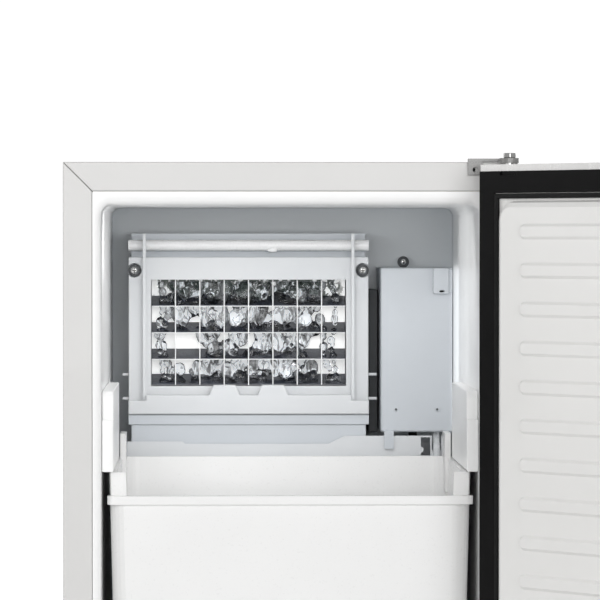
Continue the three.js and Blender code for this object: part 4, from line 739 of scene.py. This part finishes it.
# ---------------------------------------------------------------- pieces
class CabinetPanels(bpy.types.Operator):
    """Paints the case, front rails and rear panel and softens their edges"""

    bl_idname = "icemaker.cabinet_panels"
    bl_label = "Cabinet Panels"

    def execute(self, context):
        edge = context.scene.ice_maker_cabinet.edge
        for node in ("outer_case", "rail_top", "rail_left", "rail_right", "rail_bottom"):
            soft_piece(node, "cabinet paint", edge, 2)
        soft_piece("rear_panel", "back paint", 0.0002, 1)
        soft_piece("base_pan", "bright zinc", 0.0004, 1)
        return {"FINISHED"}


class Liner(bpy.types.Operator):
    """Finishes the liner and softens its edges"""

    bl_idname = "icemaker.liner"
    bl_label = "Liner"

    def execute(self, context):
        soft_piece("inner_liner", "white liner plastic", 0.0005, 2)
        return {"FINISHED"}


class Evaporator(bpy.types.Operator):
    """Finishes the bezel, housing, guard, chute and water tube round the ice grid"""

    bl_idname = "icemaker.evaporator"
    bl_label = "Evaporator"

    def execute(self, context):
        edge = context.scene.ice_maker_plastic.edge
        soft_piece("evaporator_bezel", "white bezel plastic", edge, 2)
        soft_piece("evaporator_housing", "pale blue plastic", 0.0003, 1)
        soft_piece("splash_guard", "white bezel plastic", edge, 3)
        soft_piece("drip_chute", "pale blue plastic", edge, 3)
        soft_piece("water_reservoir", "white bezel plastic", 0.0004, 2)
        soft_piece("distributor_tube", "white tube plastic", 0.0003, 1)
        soft_piece("evaporator_coil", "copper", 0)
        for side in ("left", "right"):
            node = f"bezel_screw_{side}"
            soft_piece(node, "grey rubber", 0.0003, 2)
            lo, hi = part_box(node)
            centre = ((lo.x + hi.x) / 2, lo.y - 0.0001, (lo.z + hi.z) / 2)
            pan_screw(node, centre, 0.0031, 0.0044, node, "bright screw", "grey rubber")
        lo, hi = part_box("distributor_tube")
        bm = bmesh.new()
        bmesh.ops.create_uvsphere(bm, u_segments=24, v_segments=16, radius=1.0)
        bmesh.ops.scale(bm, vec=(0.0045, 0.0030, 0.0020), verts=bm.verts)
        bmesh.ops.translate(bm, vec=(-0.0105, lo.y + 0.0030, lo.z + 0.0004), verts=bm.verts)
        make_piece(
            "tube_clip", bm, body_of("distributor_tube"), [finish("white tube plastic")],
        )
        return {"FINISHED"}


class IceGrid(bpy.types.Operator):
    """Builds the cell plate, its sloping shelves and the thin white dividers"""

    bl_idname = "icemaker.ice_grid"
    bl_label = "Ice Grid"

    def execute(self, context):
        low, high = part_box("evaporator_grid")
        columns, rows = CELL_COLUMNS, CELL_ROWS
        body = body_of("evaporator_grid")
        front, back = low.y, high.y - 0.002

        def slab(bm, x0, x1, y0, y1, z0, z1):
            return block(bm, (x0, y0, z0), (x1, y1, z1))

        bm = bmesh.new()
        slab(bm, low.x, high.x, back, high.y, low.z, high.z)
        make_piece(
            "cell_plate", bm, body, [cell_plate_material(low, high)],
            replaces=["evaporator_grid"],
        )
        pitch_x = (high.x - low.x + 0.0006) / columns
        pitch_z = (high.z - low.z + 0.0006) / rows
        upright, bar = 0.0009, 0.0007
        bm = bmesh.new()
        for i in range(1, columns):
            x = low.x - 0.0003 + i * pitch_x
            slab(bm, x - upright / 2, x + upright / 2, front, back, low.z + 0.0002, high.z - 0.0002)
        for i in range(1, rows):
            z = low.z - 0.0003 + i * pitch_z
            slab(
                bm, low.x + 0.0002, high.x - 0.0002, front - 0.0002, front + 0.0010, z - bar / 2, z + bar / 2,
            )
        round_edges(bm, 0.00012, 1)
        make_piece("cell_dividers", bm, body, [finish("grid wire white")])
        # the sloping shelves, dark with painted shade
        bm = bmesh.new()
        for i in range(rows):
            z = max(low.z - 0.0003 + i * pitch_z, low.z + 0.0008)
            made = slab(bm, low.x + 0.0001, high.x - 0.0001, front + 0.0011, back, z - 0.0005, z + 0.0005)
            for v in made:
                v.co.z += (v.co.y - front) / (back - front) * SHELF_RISE
        make_piece("cell_shelves", bm, body, [finish("shelf metal with painted shade")])
        return {"FINISHED"}


class Ice(bpy.types.Operator):
    """Grows the lumps of clear ice and running water in the cells"""

    bl_idname = "icemaker.ice"
    bl_label = "Ice"

    def execute(self, context):
        settings = context.scene.ice_maker_ice
        low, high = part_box("evaporator_grid")
        rng = random.Random(settings.seed)
        columns, rows = CELL_COLUMNS, CELL_ROWS
        pitch_x = (high.x - low.x) / columns
        pitch_z = (high.z - low.z) / rows
        bm = bmesh.new()

        def lump(x, y, z, rx, ry, rz, turn):
            made = bmesh.ops.create_icosphere(bm, subdivisions=3, radius=1.0)["verts"]
            shift = Vector((rng.uniform(0, 50), rng.uniform(0, 50), rng.uniform(0, 50)))
            for v in made:
                v.co *= 1 + 0.22 * noise.noise(v.co * 1.6 + shift)
            bmesh.ops.scale(bm, vec=(rx, ry, rz), verts=made)
            bmesh.ops.rotate(bm, cent=(0, 0, 0), matrix=Matrix.Rotation(turn, 3, "Y"), verts=made)
            bmesh.ops.translate(bm, vec=(x, y, z), verts=made)

        gaps = ((1.75, 2.35, 0.42), (1.45, 1.40, 0.62), (6.80, 1.40, 0.55), (3.15, 2.35, 0.30))
        for i in range(1, columns - 1):
            for j in range(rows):
                for k in range(17 if j == rows - 1 else 13):
                    u, w = i + rng.uniform(0.02, 0.98), j + rng.uniform(0.04, 0.98)
                    r = settings.lump * rng.uniform(0.45, 1.25)
                    if any(math.hypot(u - a, w - b) < c for a, b, c in gaps):
                        continue
                    y = low.y + rng.uniform(0.0045, 0.013)
                    lump(
                        low.x + u * pitch_x, y, low.z + w * pitch_z, r, r * 0.8, r * rng.uniform(0.9, 1.9),
                        rng.uniform(-0.5, 0.5),
                    )
        for base, sway, height in (
            (0.38, 0.10, 0.99), (7.52, 0.08, 0.99), (0.62, 0.16, 0.9), (7.2, 0.14, 0.55),
        ):
            w = 0.1
            while w < rows * height:
                r = settings.lump * rng.uniform(0.38, 0.72)
                u = base + sway * math.sin(w * 2.3 + base) + rng.uniform(-0.04, 0.04)
                lump(
                    low.x + u * pitch_x, low.y + 0.006, low.z + w * pitch_z, r, r * 0.8,
                    r * rng.uniform(0.9, 1.3), 0,
                )
                w += r * rng.uniform(1.2, 2.3) / pitch_z
        mesh = bpy.data.meshes.new("ice_lumps")
        for v in bm.verts:
            v.co.x = min(max(v.co.x, low.x + 0.0015), high.x - 0.0015)
            v.co.z = min(max(v.co.z, low.z + 0.0015), high.z - 0.0015)
            v.co.y = max(v.co.y, low.y + 0.0008)
        bm.to_mesh(mesh)
        bm.free()
        draft = bpy.data.objects.new("ice_lumps", mesh)
        context.scene.collection.objects.link(draft)
        together = draft.modifiers.new("Run together", "REMESH")
        together.mode = "VOXEL"
        together.voxel_size = settings.voxel
        soften = draft.modifiers.new("Melt", "SMOOTH")
        soften.factor = 0.5
        soften.iterations = 4
        held = draft.evaluated_get(context.evaluated_depsgraph_get())
        whole = bmesh.new()
        whole.from_mesh(held.to_mesh())
        bpy.data.objects.remove(draft)
        bpy.data.meshes.remove(mesh)
        make_piece(
            "clear_ice", whole, body_of("ice_sheet"), [clear_ice_material()], 180,
            ["ice_sheet"], keep_normals=True,
        )
        return {"FINISHED"}


class Controls(bpy.types.Operator):
    """Finishes the control housing, its switch and screws, and the dark wiring channel, a strip of painted
    shade in the gap beside the housing
    """

    bl_idname = "icemaker.controls"
    bl_label = "Controls"

    def execute(self, context):
        edge = context.scene.ice_maker_plastic.edge
        soft_piece("control_cover", "pale blue plastic", edge, 3)
        soft_piece("control_back", "pale blue plastic", edge, 2)
        soft_piece("door_switch", "pale blue plastic", 0.0005, 3)
        # painted shade: the wiring channel stands for the shade in the gap
        soft_piece("wiring_channel", "painted gap shade", 0.0012, 3)
        soft_piece("circuit_board", "circuit board", 0.0002, 1)
        soft_piece("water_pump", "black plastic", 0.0005, 2)
        for side in ("left", "right"):
            soft_piece(f"cover_screw_{side}", "pale blue plastic", 0.0003, 2)
            # painted shade: a grey disc stands for the shaded hole in the middle of each cap
            lo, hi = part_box(f"cover_screw_{side}")
            bm = bmesh.new()
            turned(
                bm, [(0, 0), (0.0011, 0), (0.0011, 0.0002), (0, 0.0004)],
                ((lo.x + hi.x) / 2, lo.y - 0.0001, (lo.z + hi.z) / 2), (0, -1, 0), 24,
            )
            make_piece(
                f"cover_screw_{side}_socket", bm, body_of("control_cover"),
                [finish("grey rubber")],
            )
        lo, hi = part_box("control_back")
        pan_screw(
            "ear_screw", (lo.x + 0.024, lo.y + 0.0116, hi.z - 0.0056), 0.0027, 0.0054, "control_back",
            "bright screw", "grey rubber",
        )
        lo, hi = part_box("door_switch")
        bm = bmesh.new()
        turned(bm, [(0, 0), (0.0022, 0), (0.0018, 0.00035), (0, 0.0004)], (0, 0, 0), (0, -1, 0), 32)
        bmesh.ops.scale(bm, vec=(1.0, 1.0, 0.40), verts=bm.verts)
        bmesh.ops.translate(bm, vec=(lo.x + 0.0076, lo.y - 0.0001, lo.z + 0.0024), verts=bm.verts)
        make_piece("door_switch_slot", bm, body_of("door_switch"), [finish("black plastic")])
        return {"FINISHED"}


class BinAndGuides(bpy.types.Operator):
    """Finishes the ice bin and the guides it runs under"""

    bl_idname = "icemaker.bin_and_guides"
    bl_label = "Bin and Guides"

    def execute(self, context):
        soft_piece("ice_bin", "white bin plastic", 0.0009, 3)
        for side in ("left", "right"):
            soft_piece(f"bin_guide_{side}", "white liner plastic", 0.0006, 3)
        return {"FINISHED"}


class Door(bpy.types.Operator):
    """Finishes the door's skin, ribbed liner, frame, seal and handle"""

    bl_idname = "icemaker.door"
    bl_label = "Door"

    def execute(self, context):
        soft_piece("door_skin", "brushed stainless", 0.0006, 3)
        soft_piece("door_liner", "door liner plastic", 0.0006, 2)
        soft_piece("door_frame", "black plastic", 0.0005, 2)
        soft_piece("door_gasket", "seal rubber", 0.0008, 3)
        soft_piece("door_handle", "brushed stainless", 0.0008, 2)
        joint = next(j for j in frame["joints"] if j["name"] == "door_hinge")
        bm = bmesh.new()
        block(bm, (-0.0364, 0.02465, -0.00895), (-0.0166, 0.0252, -0.0056))
        bmesh.ops.rotate(
            bm, cent=(0, 0, 0), matrix=Matrix.Rotation(math.radians(-joint["range_deg"][0]), 3, "Z"),
            verts=bm.verts,
        )
        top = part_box("door_skin")[1].z
        bmesh.ops.translate(bm, vec=(joint["pos_m"][0], joint["pos_m"][1], top), verts=bm.verts)
        make_piece("door_tab_rest", bm, body_of("door_frame"), [finish("black plastic")])
        return {"FINISHED"}


class Hinges(bpy.types.Operator):
    """Finishes the hinge brackets and the top pin, and sets a black disc of painted shadow in the top
    bracket's hole
    """

    bl_idname = "icemaker.hinges"
    bl_label = "Hinges"

    def execute(self, context):
        soft_piece("hinge_bracket_top", "hinge steel", 0.0004, 2)
        soft_piece("hinge_bracket_bottom", "hinge steel", 0.0004, 2)
        soft_piece("hinge_pin_top", "bright screw", 0.0005, 2)
        # painted shadow: a black disc fills the screw hole where shade falls
        lo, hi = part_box("hinge_bracket_top")
        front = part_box("rail_right")[0].y
        bm = bmesh.new()
        turned(
            bm, [(0, 0), (0.0021, 0), (0.0021, 0.0003), (0, 0.0003)],
            (lo.x + 0.0042, front - 0.0021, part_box("rail_top")[1].z - 0.0066), (0, -1, 0), 28,
        )
        make_piece(
            "hinge_hole_painted_shadow", bm, body_of("hinge_bracket_top"),
            [finish("black plastic")],
        )
        return {"FINISHED"}


class GrilleAndSwitch(bpy.types.Operator):
    """Finishes the kick grille and the mains switch"""

    bl_idname = "icemaker.grille_and_switch"
    bl_label = "Grille and Switch"

    def execute(self, context):
        soft_piece("kick_grille", "black plastic", 0.0005, 2)
        soft_piece("switch_body", "black plastic", 0.0005, 2)
        soft_piece("switch_rocker", "black plastic", 0.0004, 2)
        return {"FINISHED"}


class Feet(bpy.types.Operator):
    """Finishes the four levelling feet"""

    bl_idname = "icemaker.feet"
    bl_label = "Feet"

    def execute(self, context):
        for place in ("front_left", "front_right", "rear_left", "rear_right"):
            soft_piece(f"foot_{place}", "bright zinc", 0.0005, 2)
        return {"FINISHED"}


class Machinery(bpy.types.Operator):
    """Finishes the compressor, condenser, fan, valve and power inlet"""

    bl_idname = "icemaker.machinery"
    bl_label = "Machinery"

    def execute(self, context):
        soft_piece("compressor", "black enamel", 0.001, 2)
        soft_piece("condenser_coil", "black enamel", 0.0001, 1)
        soft_piece("fan_shroud", "black enamel", 0.0004, 2)
        soft_piece("fan_motor", "bright zinc", 0.0008, 2)
        soft_piece("fan_blades", "pale blue plastic", 0.0003, 1)
        soft_piece("inlet_valve", "pale blue plastic", 0.0005, 2)
        soft_piece("power_inlet", "black plastic", 0.0005, 2)
        return {"FINISHED"}


class Tubes(bpy.types.Operator):
    """Finishes the copper line, hoses and overflow tube"""

    bl_idname = "icemaker.tubes"
    bl_label = "Tubes"

    def execute(self, context):
        soft_piece("suction_line", "copper", 0)
        for node in ("fill_tube", "drain_hose", "supply_hose", "overflow_tube"):
            soft_piece(node, "milky tube", 0)
        return {"FINISHED"}


class Foam(bpy.types.Operator):
    """Gives the hidden insulation its foam finish"""

    bl_idname = "icemaker.foam"
    bl_label = "Foam"

    def execute(self, context):
        for node in ("insulation", "door_core"):
            obj = frame["nodes"][node]
            obj.data.materials.clear()
            obj.data.materials.append(finish("blown foam"))
        return {"FINISHED"}


class Stage(bpy.types.Operator):
    """Sets the floor, soft studio light and the camera"""

    bl_idname = "icemaker.stage"
    bl_label = "Stage"

    def execute(self, context):
        scene = context.scene
        scene.view_settings.view_transform = "Standard"
        bm = bmesh.new()
        bmesh.ops.create_grid(bm, x_segments=1, y_segments=1, size=12.0)
        bmesh.ops.translate(bm, vec=(0, 0, CAD_BOX[0].z - 0.0002), verts=bm.verts)
        mesh = bpy.data.meshes.new("studio_floor")
        bm.to_mesh(mesh)
        bm.free()
        mesh.materials.append(floor_material())
        floor = bpy.data.objects.new("studio_floor", mesh)
        scene.collection.objects.link(floor)

        world = bpy.data.worlds.new("studio air")
        world.use_nodes = True
        sky = world.node_tree
        air = sky.nodes["Background"]
        air.inputs["Color"].default_value = (1.0, 1.0, 1.0, 1)
        air.inputs["Strength"].default_value = 0.34
        seen = sky.nodes.new("ShaderNodeBackground")
        seen.inputs["Color"].default_value = (1.0, 1.0, 1.0, 1)
        seen.inputs["Strength"].default_value = 1.05
        path = sky.nodes.new("ShaderNodeLightPath")
        either = sky.nodes.new("ShaderNodeMixShader")
        sky.links.new(path.outputs["Is Camera Ray"], either.inputs[0])
        sky.links.new(air.outputs[0], either.inputs[1])
        sky.links.new(seen.outputs[0], either.inputs[2])
        sky.links.new(either.outputs[0], sky.nodes["World Output"].inputs["Surface"])
        scene.world = world

        def soft_box(name, place, aim, width, height, power):
            lamp = bpy.data.lights.new(name, "AREA")
            lamp.shape = "RECTANGLE"
            lamp.size, lamp.size_y, lamp.energy = width, height, power
            holder = bpy.data.objects.new(name, lamp)
            holder.location = place
            holder.rotation_euler = (Vector(aim) - Vector(place)).to_track_quat("-Z", "Y").to_euler()
            holder.visible_camera = False
            holder.visible_glossy = GLOSS_FREE not in name
            scene.collection.objects.link(holder)

        soft_box("front_soft_box", (0.35, -3.2, 1.2), (0, 0, 0.62), 3.6, 1.3, 64)
        soft_box("cavity_soft_box", (-0.02, -0.19, 0.798), (-0.03, 0.03, 0.58), 0.28, 0.10, 0.40)
        soft_box("cavity_right_back", (0.1545, 0.066, 0.67), (0.2, 0.066, 0.67), 0.085, 0.16, 0.036)
        soft_box("cavity_right_front", (0.1500, -0.05, 0.70), (0.2, -0.05, 0.70), 0.14, 0.20, 0.028)
        soft_box("cavity_left_front", (-0.1500, -0.05, 0.70), (-0.2, -0.05, 0.70), 0.14, 0.20, 0.014)
        soft_box("side_soft_box", (-3.0, 0.3, 1.6), (0, 0, 0.45), 1.6, 1.6, 18)
        soft_box("rear_soft_box", (1.5, 3.0, 1.7), (0, 0, 0.45), 1.6, 1.6, 30)

        lens = bpy.data.cameras.new("camera")
        lens.lens = 240.0
        lens.sensor_width = 36.0
        eye = bpy.data.objects.new("camera", lens)
        eye.location = (-0.0656, -3.600, 0.779)
        eye.rotation_euler = Vector((0.022, 1.0, -0.01625)).to_track_quat("-Z", "Y").to_euler()
        lens.clip_start, lens.clip_end = 0.1, 60
        scene.collection.objects.link(eye)
        scene.camera = eye
        return {"FINISHED"}


PIECES = (
    Stage, CabinetPanels, Liner, Evaporator, IceGrid, Ice, Controls, BinAndGuides, Door, Hinges,
    GrilleAndSwitch, Feet, Machinery, Tubes, Foam,
)
SETTINGS = (
    ("ice_maker_cabinet", CabinetSettings),
    ("ice_maker_plastic", PlasticSettings),
    ("ice_maker_ice", IceSettings),
)


class IceMakerPanel(bpy.types.Panel):
    """Lists the settings and the pieces in the order they are built"""

    bl_idname = "VIEW3D_PT_ice_maker"
    bl_label = "Ice Maker"
    bl_space_type = "VIEW_3D"
    bl_region_type = "UI"
    bl_category = "Ice Maker"

    def draw(self, context):
        for holder, kind in SETTINGS:
            box = self.layout.box()
            for prop in kind.__annotations__:
                box.prop(getattr(context.scene, holder), prop)
        for piece in PIECES:
            self.layout.operator(piece.bl_idname)


def register():
    for holder, kind in SETTINGS:
        bpy.utils.register_class(kind)
        setattr(bpy.types.Scene, holder, PointerProperty(type=kind))
    for kind in (*PIECES, IceMakerPanel):
        bpy.utils.register_class(kind)


def unregister():
    for kind in reversed((*PIECES, IceMakerPanel)):
        bpy.utils.unregister_class(kind)
    for holder, kind in reversed(SETTINGS):
        delattr(bpy.types.Scene, holder)
        bpy.utils.unregister_class(kind)


def main():
    register()
    for piece in PIECES:
        getattr(bpy.ops.icemaker, piece.bl_idname.split(".")[1])()


if __name__ == "__main__":
    main()
